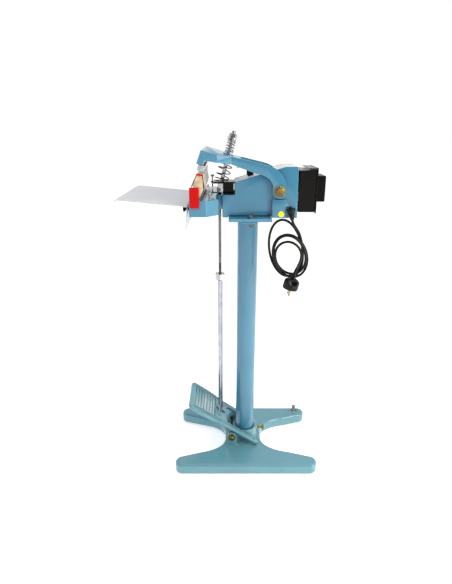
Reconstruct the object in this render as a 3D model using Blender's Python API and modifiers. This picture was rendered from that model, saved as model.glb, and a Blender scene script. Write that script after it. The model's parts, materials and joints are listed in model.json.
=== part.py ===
"""Foot-operated impulse heat sealer on a pedestal: every piece as its own closed solid.

Frame: metres, +Z up, origin on the floor under the column's axis. The operator stands at -X, in front
of the work table, and the jaws run along Y.
"""

from math import asin, cos, hypot, pi, radians, sin

import bmesh
import bpy
from mathutils import Matrix, Vector

# Fineness of the solids
ROUND_SIDES = 20
SMALL_SIDES = 12
BEND_STEPS = 6
GAP = 0.0004

# Base and column
FOOT_TOP = 0.036
FOOT_LENGTH = 0.425
FOOT_OUTER_Y = 0.148
FOOT_TIP_RADIUS = 0.022
FOOT_ROUND = 0.007
WAIST_FRONT_X = -0.062
WAIST_REAR_X = 0.051
STUD = (0.179, 0.132)
STUD_RADIUS = 0.0030
COLLAR_RADIUS = 0.037
COLLAR_TOP = 0.074
COLUMN_RADIUS = 0.0285
COLUMN_WALL = 0.003
COLUMN_TOP = 0.7445

# Head support
FLANGE_TOP = 0.7515
FLANGE_HALF_X = 0.0210
FLANGE_HALF_Y = 0.090
BRACKET_TOP = 0.7595
BRACKET_FRONT_X = -0.0535
BRACKET_REAR_X = 0.057
BRACKET_HALF_Y = 0.100
BRACKET_BOLT = (0.004, 0.076)

# Head casting
HEAD_HALF_Y = 0.055
HEAD_WALL = 0.006
HEAD_FRONT_X = -0.0698
HEAD_LEDGE_Z = 0.8139
HEAD_STEP_X = -0.0373
HEAD_REAR_X = 0.1240
HEAD_TOP_Z = 0.8841
HEAD_FLOOR_Z = 0.766

# Lower jaw, its beam and the table
JAW_TILT = radians(12)
JAW_TOP = (-0.1215, 0.8735)
JAW_HALF_Y = 0.155
STRIP_HALF_Y = 0.1405
BEAM_FRONT_X = -0.148
BEAM_REAR_X = -0.0785
BEAM_HALF_Y = 0.158
BEAM_BOTTOM = 0.775
BEAM_TOP = 0.8133
CHAMFER = 0.029
TABLE_REAR = (-0.1520, 0.7990)
TABLE_TILT = radians(5.5)
TABLE_DEPTH = 0.175
TABLE_HALF_Y = 0.151
TABLE_SHEET = 0.0015
TABLE_FLANGE = 0.060

# Upper arm and its pivot
PIVOT = (0.0775, 0.8242)
ARM_OUTER_Y = 0.066
ARM_INNER_Y = 0.0562
ARM_END_RADIUS = 0.0185
PIVOT_RADIUS = 0.006
JAW_OPENING = 0.0065

# Pressure bolt, springs and treadle rod
PIN = (-0.0770, 0.8220)
BOLT_TILT = radians(14.5)
BOLT_RADIUS = 0.0050
BOLT_LENGTH = 0.153
ROD_RADIUS = 0.0040
TUBE_RADIUS = 0.0070
TUBE_TOP = 0.5670
TUBE_BOTTOM = 0.1380
NUT_BOTTOM = 0.5675
NUT_TOP = 0.5865

# Pedal
PEDAL_TOE = (-0.170, 0.190)
PEDAL_REAR = (0.041, 0.045)
PEDAL_HALF_Y = 0.0730
PEDAL_ARM_Y = 0.0605
PEDAL_THICK = 0.009
PEDAL_PIVOT = (-0.0415, 0.0660)
PEDAL_HOOK = (-0.0770, 0.1000)
FORK_INNER_Y = 0.0415

# Rear boxes
BOX_FRONT_X = 0.1275
BOX_REAR_X = 0.1720
BOX_BOTTOM = 0.769
BOX_TOP = 0.875
BOX_HALF_Y = 0.052

# Mains lead
CORD_RADIUS = 0.0033
CORD_EXIT = (0.1120, -0.0672, 0.7515)
COIL_CENTRE = (0.1060, 0.6690)
COIL_HALF_X = 0.0560
COIL_HALF_Z = 0.0795
COIL_SPAN_Y = (-0.0820, -0.0540)
PLUG_NECK = (0.1200, -0.1030, 0.6190)
PLUG_WAY = (0.24, 0.0, 1.0)
TAIL_START = (0.1340, -0.0860, 0.6600)

# Bodies whose many cuts the exact solver leaves open, so they use the manifold one
MANIFOLD_BODIES = {"head_casting", "jaw_beam", "treadle_rod", "pedal"}

COLOURS = {
    "blue_paint": ((0.09, 0.30, 0.42), 0.35, 0.0),
    "cover_grey": ((0.72, 0.74, 0.74), 0.45, 0.0),
    "black_paint": ((0.012, 0.012, 0.013), 0.45, 0.0),
    "black_plastic": ((0.015, 0.015, 0.016), 0.5, 0.0),
    "rubber": ((0.02, 0.02, 0.02), 0.8, 0.0),
    "red_plastic": ((0.75, 0.01, 0.01), 0.4, 0.0),
    "chrome": ((0.78, 0.79, 0.80), 0.12, 1.0),
    "steel": ((0.45, 0.45, 0.46), 0.3, 1.0),
    "yellow_zinc": ((0.62, 0.47, 0.16), 0.3, 1.0),
    "spring_steel": ((0.10, 0.10, 0.11), 0.35, 1.0),
    "aluminium": ((0.80, 0.81, 0.82), 0.35, 1.0),
    "insulator": ((0.66, 0.56, 0.42), 0.6, 0.0),
    "ptfe": ((0.70, 0.62, 0.50), 0.55, 0.0),
    "silicone": ((0.82, 0.82, 0.80), 0.5, 0.0),
    "white_paint": ((0.82, 0.84, 0.86), 0.35, 0.0),
    "copper": ((0.60, 0.30, 0.15), 0.4, 1.0),
    "lamp_red": ((0.60, 0.02, 0.02), 0.2, 0.0),
}


def start():
    """An empty scene with one collection for the parts and one for the helpers."""
    for obj in list(bpy.data.objects):
        bpy.data.objects.remove(obj, do_unlink=True)
    for name in ("impulse_heat_sealer", "cutters"):
        bpy.context.scene.collection.children.link(bpy.data.collections.new(name))


def material(name):
    found = bpy.data.materials.get(name)
    if found:
        return found
    colour, roughness, metallic = COLOURS[name]
    made = bpy.data.materials.new(name)
    made.use_nodes = True
    shader = made.node_tree.nodes["Principled BSDF"]
    shader.inputs["Base Color"].default_value = (*colour, 1.0)
    shader.inputs["Roughness"].default_value = roughness
    shader.inputs["Metallic"].default_value = metallic
    made.diffuse_color = (*colour, 1.0)
    return made


def add(name, mesh, slot=None):
    """A named object: a part if it has a material slot, and a hidden helper if it has none."""
    obj = bpy.data.objects.new(name, mesh)
    if slot:
        mesh.materials.append(material(slot))
        bpy.data.collections["impulse_heat_sealer"].objects.link(obj)
    else:
        bpy.data.collections["cutters"].objects.link(obj)
        hide(obj)
    return obj


def hide(obj):
    obj.hide_render = True
    obj.display_type = "WIRE"


def mesh_of(name, fill):
    """A mesh that fill(bm) makes."""
    mesh = bpy.data.meshes.new(name)
    bm = bmesh.new()
    fill(bm)
    bmesh.ops.recalc_face_normals(bm, faces=bm.faces)
    bm.to_mesh(mesh)
    bm.free()
    return mesh


def shade_round(obj, angle=35):
    obj.data.shade_smooth()
    obj.data.set_sharp_from_angle(angle=radians(angle))
    return obj


def box(name, low, high, slot=None):
    size = [b - a for a, b in zip(low, high)]
    middle = [(a + b) / 2 for a, b in zip(low, high)]
    matrix = Matrix.Translation(middle) @ Matrix.Diagonal((*size, 1))
    return add(name, mesh_of(name, lambda bm: bmesh.ops.create_cube(bm, size=1, matrix=matrix)), slot)


def cylinder(name, start_at, end_at, radius, slot=None, sides=ROUND_SIDES, end_radius=None):
    """A cylinder, cone or polygonal bar between two points."""
    first, last = Vector(start_at), Vector(end_at)
    along = last - first
    turn = along.to_track_quat("Z", "Y").to_matrix().to_4x4()
    matrix = Matrix.Translation((first + last) / 2) @ turn

    def fill(bm):
        bmesh.ops.create_cone(
            bm, cap_ends=True, segments=sides, radius1=radius, depth=along.length,
            radius2=radius if end_radius is None else end_radius, matrix=matrix,
        )

    return shade_round(add(name, mesh_of(name, fill), slot))


def prism(name, outline, low, high, plane="XZ", slot=None):
    """A flat outline given thickness: in plane XZ from Y low to high, in plane XY from Z low to high."""
    curve = bpy.data.curves.new(name, "CURVE")
    curve.dimensions = "2D"
    curve.fill_mode = "BOTH"
    curve.extrude = (high - low) / 2
    spline = curve.splines.new("POLY")
    spline.points.add(len(outline) - 1)
    for point, (u, v) in zip(spline.points, outline):
        point.co = (u, v, 0, 1)
    spline.use_cyclic_u = True
    middle = (low + high) / 2
    if plane == "XZ":
        place = Matrix.Translation((0, middle, 0)) @ Matrix.Rotation(pi / 2, 4, "X")
    else:
        place = Matrix.Translation((0, 0, middle))
    return add(name, solid_mesh(curve, place), slot)


def solid_mesh(curve, place=None):
    """A curve's mesh with its caps welded on, moved by a matrix."""
    holder = bpy.data.objects.new("holder", curve)
    bpy.context.scene.collection.objects.link(holder)
    graph = bpy.context.evaluated_depsgraph_get()
    mesh = bpy.data.meshes.new_from_object(holder.evaluated_get(graph))
    bpy.data.objects.remove(holder)
    bm = bmesh.new()
    bm.from_mesh(mesh)
    bmesh.ops.remove_doubles(bm, verts=bm.verts, dist=1e-6)
    bmesh.ops.recalc_face_normals(bm, faces=bm.faces)
    bm.to_mesh(mesh)
    bm.free()
    if place:
        mesh.transform(place)
    mesh.materials.clear()
    return mesh


def lathe(name, profile, origin, direction, slot, steps=ROUND_SIDES):
    """A turned solid: profile is (radius, height) from top to bottom along direction, from origin."""
    mesh = bpy.data.meshes.new(name)
    points = [(r, 0, h) for r, h in profile]
    edges = [(i, i + 1) for i in range(len(points) - 1)]
    mesh.from_pydata(points, edges, [])
    obj = add(name, mesh, slot)
    screw = obj.modifiers.new("turn", "SCREW")
    screw.steps = screw.render_steps = steps
    screw.use_merge_vertices = True
    screw.merge_threshold = 1e-5
    screw.use_smooth_shade = False
    turn = Vector(direction).to_track_quat("Z", "Y").to_matrix().to_4x4()
    obj.matrix_world = Matrix.Translation(origin) @ turn
    return obj


def tube(name, points, radius, slot, resolution=2):
    """A wire along points, as a mesh with flat ends."""
    curve = bpy.data.curves.new(name, "CURVE")
    curve.dimensions = "3D"
    curve.bevel_depth = radius
    curve.bevel_resolution = resolution
    curve.use_fill_caps = True
    spline = curve.splines.new("POLY")
    spline.points.add(len(points) - 1)
    for point, at in zip(spline.points, points):
        point.co = (*at, 1)
    return shade_round(add(name, solid_mesh(curve), slot), 50)


def boolean(obj, operation, helpers):
    for helper in helpers:
        step = obj.modifiers.new(f"{operation.lower()} {helper.name}", "BOOLEAN")
        step.operation = operation
        step.object = helper
        if obj.name in MANIFOLD_BODIES:
            step.solver = "MANIFOLD"
    return obj


def join(obj, *helpers):
    return boolean(obj, "UNION", helpers)


def cut(obj, *helpers):
    return boolean(obj, "DIFFERENCE", helpers)


def bevel(obj, width, segments=2, angle=30):
    step = obj.modifiers.new("rounded edges", "BEVEL")
    step.width = width
    step.segments = segments
    step.limit_method = "ANGLE"
    step.angle_limit = radians(angle)
    return obj


def arc(centre, radius, first, last, steps=BEND_STEPS):
    """Points on an arc, from one angle to another in degrees."""
    angles = [radians(first + (last - first) * i / steps) for i in range(steps + 1)]
    return [(centre[0] + radius * cos(a), centre[1] + radius * sin(a)) for a in angles]


def bend(start_at, control, end_at, steps=BEND_STEPS):
    """Points on a smooth bend between two points, pulled towards a control point."""
    points = []
    for i in range(steps + 1):
        t = i / steps
        weights = ((1 - t) ** 2, 2 * t * (1 - t), t**2)
        points.append(tuple(
            weights[0] * a + weights[1] * b + weights[2] * c
            for a, b, c in zip(start_at, control, end_at)
        ))
    return points


def axis_empty(name, at, children):
    """An empty on a joint's axis, which carries the pieces that turn or slide with it."""
    empty = bpy.data.objects.new(name, None)
    empty.location = at
    bpy.data.collections["impulse_heat_sealer"].objects.link(empty)
    bpy.context.view_layer.update()
    for child in children:
        child.parent = empty
        child.matrix_parent_inverse = empty.matrix_world.inverted()


# ---------------------------------------------------------------- base and column


def foot_outline():
    """The H-shaped casting in plan: two straight feet along X, drawn in to a waist round the column."""
    half = FOOT_LENGTH / 2
    tip_x = half - FOOT_TIP_RADIUS
    tip_y = FOOT_OUTER_Y - FOOT_TIP_RADIUS
    rear = arc((tip_x, tip_y), FOOT_TIP_RADIUS, 90, -90, 8)
    rear += bend((tip_x - 0.07, 0.082), (WAIST_REAR_X + 0.008, 0.072), (WAIST_REAR_X, 0.030))
    front = arc((tip_x, tip_y), FOOT_TIP_RADIUS, 90, -90, 8)
    front += bend((tip_x - 0.07, 0.082), (0.008 - WAIST_FRONT_X, 0.072), (-WAIST_FRONT_X, 0.030))
    outline = rear + [(x, -y) for x, y in reversed(rear)]
    outline += [(-x, -y) for x, y in front]
    outline += [(-x, y) for x, y in reversed(front)]
    return outline


def make_base():
    base = prism("base_casting", foot_outline(), -FOOT_ROUND, FOOT_TOP, "XY", "blue_paint")
    bevel(base, FOOT_ROUND, 3, 50)
    cut(base, box("floor", (-0.3, -0.2, -0.05), (0.3, 0.2, 0)))
    collar = cylinder("collar", (0, 0, 0.02), (0, 0, COLLAR_TOP), COLLAR_RADIUS, sides=28)
    boss = cylinder("clamp_boss", (0.030, 0, 0.062), (0.0405, 0, 0.062), 0.009, sides=16)
    ears = [pedal_ear(side) for side in (-1, 1)]
    join(base, collar, boss, *ears)
    socket = cylinder("socket", (0, 0, 0.010), (0, 0, 0.1), COLUMN_RADIUS + GAP, sides=28)
    thread = cylinder("clamp_hole", (0.02, 0, 0.062), (0.06, 0, 0.062), 0.0040 + GAP, sides=12)
    bore = cylinder(
        "ear_bore", (PEDAL_PIVOT[0], -0.08, PEDAL_PIVOT[1]), (PEDAL_PIVOT[0], 0.08, PEDAL_PIVOT[1]),
        0.0050 + GAP, sides=12,
    )
    stud_hole = cylinder(
        "stud_hole", (*STUD, 0.0310), (*STUD, 0.06), STUD_RADIUS + GAP, sides=SMALL_SIDES
    )
    cut(base, socket, thread, bore, stud_hole, *core_pockets())


def core_pockets():
    """The hollows that the casting's cores leave underneath, in each foot and beside the hub."""
    pockets = []
    for side in (-1, 1):
        foot_y = sorted((side * 0.112, side * 0.140))
        hub_y = sorted((side * 0.045, side * 0.104))
        pockets.append(box(f"foot_pocket_{side}", (-0.185, foot_y[0], -0.01), (0.185, foot_y[1], 0.028)))
        pockets.append(box(f"hub_pocket_{side}", (-0.050, hub_y[0], -0.01), (0.040, hub_y[1], 0.026)))
    return pockets


def pedal_ear(side):
    """One of the two ears that hold the pedal's pivot bolt."""
    x, z = PEDAL_PIVOT
    outline = [(x - 0.014, 0.02), (x + 0.014, 0.02)] + arc((x, z), 0.014, 0, 180, 8)
    edges = sorted((side * 0.050, side * 0.057))
    return prism(f"ear_{side}", outline, edges[0], edges[1])


def make_column():
    column = cylinder(
        "column_tube", (0, 0, 0.0125), (0, 0, COLUMN_TOP), COLUMN_RADIUS, "blue_paint", sides=32
    )
    hollow = cylinder("column_bore", (0, 0, 0), (0, 0, 0.8), COLUMN_RADIUS - COLUMN_WALL, sides=24)
    cut(column, hollow)
    flange = box(
        "column_flange", (-FLANGE_HALF_X, -FLANGE_HALF_Y, COLUMN_TOP + GAP),
        (FLANGE_HALF_X, FLANGE_HALF_Y, FLANGE_TOP), "blue_paint",
    )
    bevel(flange, 0.002, 1)
    cut(flange, *bracket_holes("flange"))
    cut(flange, cylinder("lead_way", (0, 0, 0.7), (0, 0, 0.8), 0.012, sides=12))


def bracket_holes(name):
    x, y = BRACKET_BOLT
    return [
        cylinder(f"{name}_hole_{side}", (x, side * y, 0.7), (x, side * y, 0.8), 0.0045, sides=12)
        for side in (-1, 1)
    ]


def fastener(name, under_head, direction, slot, radius, length, head=(0.0098, 0.0065), washer=None, nut=None):
    """A hexagon bolt: its shank runs from under_head along direction, with a washer and nut if asked for.

    head and nut are (radius over corners, height); washer is (radius, thickness) under the head; nut has a
    third value, its distance along the shank.
    """
    way = Vector(direction).normalized()
    at = Vector(under_head)
    thick = washer[1] if washer else 0
    bolt = cylinder(name, at - way * (thick + head[1]), at - way * thick * 0.5, head[0], slot, sides=6)
    shank = cylinder(f"{name}_shank", at - way * (thick + 0.001), at + way * length, radius, sides=SMALL_SIDES)
    helpers = [shank]
    if washer:
        helpers.append(cylinder(f"{name}_washer", at - way * thick, at, washer[0], sides=ROUND_SIDES))
    if nut:
        start_at = at + way * nut[2]
        helpers.append(cylinder(f"{name}_nut", start_at, start_at + way * nut[1], nut[0], sides=6))
    return join(bolt, *helpers)


def make_base_fasteners():
    fastener("collar_clamp_bolt", (0.0560, 0, 0.062), (-1, 0, 0), "yellow_zinc", 0.0040, 0.0262)
    fastener(
        "foot_stud", (*STUD, 0.0480), (0, 0, -1), "chrome", STUD_RADIUS, 0.016,
        head=(0.0078, 0.0055), nut=(0.0078, 0.0055, 0.0062),
    )
    x, z = PEDAL_PIVOT
    fastener(
        "pedal_pivot_bolt", (x, -0.0574, z), (0, 1, 0), "yellow_zinc", 0.0050, 0.124,
        head=(0.0098, 0.0060), washer=(0.0110, 0.0015), nut=(0.0098, 0.006, 0.1154),
    )


# ---------------------------------------------------------------- head


def make_support():
    low = (BRACKET_FRONT_X, -BRACKET_HALF_Y, FLANGE_TOP + GAP)
    high = (BRACKET_REAR_X, BRACKET_HALF_Y, BRACKET_TOP)
    bracket = box("head_bracket", low, high, "blue_paint")
    bevel(bracket, 0.0015, 1)
    cut(bracket, *bracket_holes("bracket"))
    x, y = BRACKET_BOLT
    for side, name in ((-1, "bracket_bolt_near"), (1, "bracket_bolt_far")):
        fastener(
            name, (x, side * y, BRACKET_TOP + GAP), (0, 0, -1), "steel", 0.0040, 0.026,
            head=(0.0082, 0.0055), washer=(0.0088, 0.0015), nut=(0.0082, 0.0065, 0.0160),
        )


def head_outline():
    rest_z = BRACKET_TOP + GAP
    return [
        (HEAD_FRONT_X, 0.7555), (BRACKET_FRONT_X - 0.001, 0.7555), (BRACKET_FRONT_X - 0.001, rest_z),
        (BRACKET_REAR_X + 0.001, rest_z), (BRACKET_REAR_X + 0.001, 0.7545), (HEAD_REAR_X + 0.0022, 0.7540),
        (HEAD_REAR_X, HEAD_TOP_Z), (0.0924, HEAD_TOP_Z), (0.0703, 0.8773), (0.0450, 0.8700),
        (0.0243, 0.8638), (HEAD_STEP_X, 0.8458), (HEAD_STEP_X, HEAD_LEDGE_Z), (HEAD_FRONT_X, HEAD_LEDGE_Z),
    ]


def slot_box(name):
    """The clear way for the clevis and treadle rod, between the beam and the head."""
    return box(name, (-0.0950, -0.014, 0.70), (-0.0560, 0.014, 0.90))


def make_head():
    head = prism("head_casting", head_outline(), -HEAD_HALF_Y, HEAD_HALF_Y, "XZ", "blue_paint")
    bevel(head, 0.0015, 1, 25)
    posts = [
        box(f"post_{side}", (0.0585, min(side * 0.0645, side * 0.050), 0.7565),
            (0.0950, max(side * 0.0645, side * 0.050), 0.8040))
        for side in (-1, 1)
    ]
    join(head, *posts)
    inner_y = HEAD_HALF_Y - HEAD_WALL
    room = box(
        "head_room", (HEAD_FRONT_X + 0.007, -inner_y, HEAD_FLOOR_Z), (HEAD_REAR_X + 0.02, inner_y, 0.95)
    )
    bore = cylinder(
        "arm_bore", (PIVOT[0], -0.08, PIVOT[1]), (PIVOT[0], 0.08, PIVOT[1]), PIVOT_RADIUS + GAP, sides=16
    )
    beam_holes = [
        cylinder(f"head_beam_hole_{side}", (-0.09, side * 0.034, 0.790), (-0.05, side * 0.034, 0.790),
                 0.0034, sides=12)
        for side in (-1, 1)
    ]
    gland = cylinder(
        "gland_hole", (CORD_EXIT[0] - 0.004, -0.045, 0.778), (CORD_EXIT[0] - 0.004, -0.065, 0.778), 0.0060,
        sides=12,
    )
    cut(head, room, slot_box("head_slot"), bore, gland, *beam_holes)


def cover_line(inset):
    """The top line of the head between its side plates, from the front step to the rear."""
    return [
        (HEAD_STEP_X + 0.0005, 0.8458 - inset), (0.0243, 0.8638 - inset), (0.0450, 0.8700 - inset),
        (0.0703, 0.8773 - inset), (0.0924, HEAD_TOP_Z - inset), (HEAD_REAR_X - 0.0005, HEAD_TOP_Z - inset),
    ]


def make_cover():
    top = cover_line(0.0005)
    under = [(x, z - 0.0022) for x, z in reversed(top)]
    half = HEAD_HALF_Y - HEAD_WALL - GAP
    cover = prism("head_cover", top + under, -half, half, "XZ", "cover_grey")
    front = box(
        "cover_front", (HEAD_STEP_X + 0.0005, -half, HEAD_LEDGE_Z + 0.002), (HEAD_STEP_X + 0.0027, half, 0.8450)
    )
    join(cover, front)


def make_spring_bridge():
    """The black saddle over the front ledge that the return spring stands on."""
    bridge = box("spring_bridge", (-0.0930, -0.030, 0.8400), (-0.0385, 0.030, 0.8445), "black_paint")
    legs = [
        box(f"bridge_leg_{side}", (-0.0680, min(side * 0.030, side * 0.026), HEAD_LEDGE_Z + GAP),
            (-0.0400, max(side * 0.030, side * 0.026), 0.8420))
        for side in (-1, 1)
    ]
    feet = [
        box(f"bridge_foot_{side}", (-0.0680, min(side * 0.026, side * 0.044), HEAD_LEDGE_Z + GAP),
            (-0.0400, max(side * 0.028, side * 0.044), HEAD_LEDGE_Z + 0.0030))
        for side in (-1, 1)
    ]
    join(bridge, *legs, *feet)
    cut(bridge, box("bridge_way", (-0.0880, -0.0105, 0.80), (-0.0540, 0.0105, 0.90)))


def bolt_point(distance, offset=0.0):
    """A point on the pressure bolt's axis, that far above the clevis pin, shifted across it in X."""
    return (PIN[0] + sin(BOLT_TILT) * distance + offset, 0.0, PIN[1] + cos(BOLT_TILT) * distance)


def spring(name, first, last, radius, wire, turns, slot):
    """A coil between two points of its axis, with its end turns drawn flat."""
    start_at, end_at = Vector(first), Vector(last)
    along = end_at - start_at
    frame = along.to_track_quat("Z", "Y").to_matrix()
    per_turn = 14
    total = int(turns * per_turn)
    points = []
    for i in range(total + 1):
        angle = 2 * pi * i / per_turn
        share = i / total
        eased = share + sin(2 * pi * share) * -0.06
        local = Vector((radius * cos(angle), radius * sin(angle), along.length * eased))
        points.append(start_at + frame @ local)
    return tube(name, points, wire, slot, 1)


def make_beam():
    """The long casting under the lower jaw, with its rear corners cut away and a neck to the head."""
    plan = [
        (BEAM_FRONT_X, -BEAM_HALF_Y), (BEAM_REAR_X - CHAMFER, -BEAM_HALF_Y),
        (BEAM_REAR_X, CHAMFER - BEAM_HALF_Y), (BEAM_REAR_X, BEAM_HALF_Y - CHAMFER),
        (BEAM_REAR_X - CHAMFER, BEAM_HALF_Y), (BEAM_FRONT_X, BEAM_HALF_Y),
    ]
    beam = prism("jaw_beam", plan, BEAM_BOTTOM, BEAM_TOP, "XY", "blue_paint")
    bevel(beam, 0.0012, 1)
    neck = box("beam_neck", (-0.0850, -0.050, BEAM_BOTTOM + 0.002), (HEAD_FRONT_X - GAP, 0.050, BEAM_TOP - 0.002))
    join(beam, neck)
    under = box("beam_room", (-0.1420, -0.126, 0.76), (-0.0900, 0.126, BEAM_TOP - 0.012))
    holes = [
        cylinder(f"beam_hole_{side}", (-0.10, side * 0.034, 0.790), (-0.06, side * 0.034, 0.790),
                 0.0034, sides=12)
        for side in (-1, 1)
    ]
    screws = [
        cylinder(f"table_thread_{side}", (-0.16, side * 0.120, 0.7900), (-0.13, side * 0.120, 0.7900),
                 0.0030, sides=12)
        for side in (-1, 1)
    ]
    cut(beam, under, slot_box("beam_slot"), *holes, *screws)
    for side, name in ((-1, "beam_bolt_near"), (1, "beam_bolt_far")):
        fastener(
            name, (HEAD_FRONT_X + 0.007 + GAP, side * 0.034, 0.790), (-1, 0, 0), "steel", 0.0030, 0.0300,
            head=(0.0062, 0.0045),
        )


def lean(across, up):
    """A point near the lower jaw's sealing line: across and up in the jaw's own tilted section."""
    s, c = sin(JAW_TILT), cos(JAW_TILT)
    return (JAW_TOP[0] + across * c + up * s, JAW_TOP[1] - across * s + up * c)


def make_lower_jaw():
    """The insulated bar, its ribbon element, the cloth over both, and the blocks and caps at the ends."""
    depth = [(-0.0062, -0.0030), (0.0062, -0.0030), (0.0085, -0.0120), (0.0150, -0.0330), (0.0110, -0.0500)]
    foot = [(0.0045, -0.0600), (-0.0050, -0.0600), (-0.0080, -0.0480), (-0.0110, -0.0300), (-0.0085, -0.0120)]
    outline = [lean(a, u) for a, u in depth + foot]
    bar = prism("lower_jaw_bar", outline, -JAW_HALF_Y + 0.004, JAW_HALF_Y - 0.004, "XZ", "insulator")
    cut(bar, box("jaw_foot_cut", (-0.16, -0.2, 0.75), (-0.08, 0.2, BEAM_TOP + GAP)))
    ribbon = [lean(a, u) for a, u in ((-0.0015, -0.0026), (0.0015, -0.0026), (0.0015, -0.0021), (-0.0015, -0.0021))]
    prism("heating_element", ribbon, -STRIP_HALF_Y, STRIP_HALF_Y, "XZ", "steel")
    prism("ptfe_cloth", cloth_outline(), -STRIP_HALF_Y, STRIP_HALF_Y, "XZ", "ptfe")
    for side, where in ((-1, "near"), (1, "far")):
        make_jaw_end(side, where)


def cloth_outline():
    """The cloth in section: over the crown and down both flanks, just clear of the bar."""
    flank = [(-0.0165, -0.0400), (-0.0150, -0.0280), (-0.0105, -0.0110), (-0.0078, -0.0010)]
    crown = [(-0.0040, 0.0000), (0.0040, 0.0000)]
    other = [(0.0078, -0.0010), (0.0105, -0.0110), (0.0180, -0.0320), (0.0150, -0.0480)]
    outer = flank + crown + other
    thick = 0.0008
    inner = [(0.0150 - thick, -0.0480), (0.0180 - thick, -0.0320), (0.0105 - thick, -0.0110)]
    inner += [(0.0078 - thick, -0.0015), (0.0040, -thick), (-0.0040, -thick), (thick - 0.0078, -0.0015)]
    inner += [(thick - 0.0105, -0.0110), (thick - 0.0150, -0.0280), (thick - 0.0165, -0.0400)]
    return [lean(a, u) for a, u in outer + inner]


def make_jaw_end(side, where):
    near, far = sorted((side * (JAW_HALF_Y - 0.0135), side * (JAW_HALF_Y + 0.0010)))
    top = [lean(a, u) for a, u in ((-0.0078, -0.0026), (0.0078, -0.0026), (0.0078, 0.0008), (-0.0078, 0.0008))]
    prism(f"element_block_{where}", top, near, far, "XZ", "red_plastic")
    low_y, high_y = sorted((side * (BEAM_HALF_Y + GAP), side * (BEAM_HALF_Y + 0.0050)))
    cap = box(f"end_cap_{where}", (-0.1465, low_y, 0.7964), (-0.1193, high_y, 0.8450), "red_plastic")
    bevel(cap, 0.0015, 2)
    lip_y = sorted((side * (JAW_HALF_Y - 0.0010), side * (BEAM_HALF_Y + 0.002)))
    join(cap, box(f"cap_lip_{where}", (-0.1455, lip_y[0], BEAM_TOP + 0.001), (-0.1400, lip_y[1], 0.8430)))
    post_y = side * 0.128
    fastener(
        f"terminal_post_{where}", (-0.1000, post_y, 0.8440), (0, 0, -1), "chrome", 0.0025, 0.0300,
        head=(0.0055, 0.0040), washer=(0.0068, 0.0015), nut=(0.0055, 0.004, 0.014),
    )


def make_table():
    """A bent sheet: the table, its front lip and the slotted rear flange, tilted as one."""
    t = TABLE_SHEET
    section = [
        (0, 0), (0, -TABLE_FLANGE), (-t, -TABLE_FLANGE), (-t, -t), (-TABLE_DEPTH + t, -t),
        (-TABLE_DEPTH + t, -0.007), (-TABLE_DEPTH, -0.007), (-TABLE_DEPTH, 0),
    ]
    s, c = sin(TABLE_TILT), cos(TABLE_TILT)
    outline = [(TABLE_REAR[0] + x * c + z * s, TABLE_REAR[1] - x * s + z * c) for x, z in section]
    table = prism("work_table", outline, -TABLE_HALF_Y, TABLE_HALF_Y, "XZ", "white_paint")
    slots = [
        box(f"table_slot_{side}", (-0.17, side * 0.120 - 0.0034, 0.7570), (-0.14, side * 0.120 + 0.0034, 0.7935))
        for side in (-1, 1)
    ]
    cut(table, *slots)
    for side, where in ((-1, "near"), (1, "far")):
        make_table_screw(side, where)
    axis_empty("table_slide_axis", (TABLE_REAR[0], 0, TABLE_REAR[1]), [table])


def make_table_screw(side, where):
    """A knurled thumb screw through the slot into the beam."""
    profile = [(0, 0.0265), (0.0028, 0.0265), (0.0028, 0.0100), (0.0070, 0.0100), (0.0070, 0.0085)]
    profile += [(0.0042, 0.0085), (0.0042, 0.0060), (0.0075, 0.0055), (0.0075, 0), (0, 0)]
    screw = lathe(f"table_screw_{where}", profile, (-0.1655, side * 0.120, 0.7900), (1, 0, 0), "black_plastic", 14)
    axis_empty(f"table_screw_{where}_axis", (-0.1655, side * 0.120, 0.7900), [screw])


# ---------------------------------------------------------------- upper arm


def arm_profile():
    """The arm from the side: front leg, straight back, bend and round end at the pivot."""
    outline = [(-0.1287, 0.8987), (-0.1179, 0.9282), (-0.0806, 0.9173), (-0.0453, 0.9093)]
    outline += bend((0.0443, 0.8878), (0.0900, 0.8770), (0.0958, 0.8300))
    outline += arc(PIVOT, ARM_END_RADIUS, 0, -180, 10)
    outline += bend((0.0592, 0.8350), (0.0560, 0.8600), (0.0200, 0.8670))
    outline += [(0.0073, 0.8709), (-0.0452, 0.8900), (-0.0814, 0.9003), (-0.1106, 0.9051), (-0.1128, 0.8943)]
    return outline


def arm_plan():
    """The arm from above: a wide front beam that tapers to two parallel side arms."""
    half = [(-0.14, BEAM_HALF_Y), (-0.0806, BEAM_HALF_Y), (-0.0453, ARM_OUTER_Y), (0.12, ARM_OUTER_Y)]
    half += [(0.12, ARM_INNER_Y), (-0.024, ARM_INNER_Y)]
    half += [(-0.028, ARM_INNER_Y - 0.004)]
    return half + [(x, -y) for x, y in reversed(half)]


def make_arm():
    arm = prism("arm_casting", arm_profile(), -BEAM_HALF_Y - 0.005, BEAM_HALF_Y + 0.005, "XZ", "blue_paint")
    boolean(arm, "INTERSECT", [prism("arm_plan", arm_plan(), 0.78, 0.95, "XY")])
    seat = cylinder("spring_seat", bolt_point(0.080), bolt_point(0.0945), 0.0150, sides=ROUND_SIDES)
    join(arm, seat)
    way = cylinder("bolt_way", bolt_point(0.03), bolt_point(0.14), BOLT_RADIUS + 0.0012, sides=16)
    bore = cylinder(
        "arm_end_bore", (PIVOT[0], -0.09, PIVOT[1]), (PIVOT[0], 0.09, PIVOT[1]), PIVOT_RADIUS + GAP, sides=16
    )
    cut(arm, way, bore)
    bevel(arm, 0.0010, 1, 40)
    return arm


def upper(across, up):
    """A point in the tilted section of the upper jaw, above the lower jaw's line by the opening."""
    return lean(across, up + JAW_OPENING)


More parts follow.
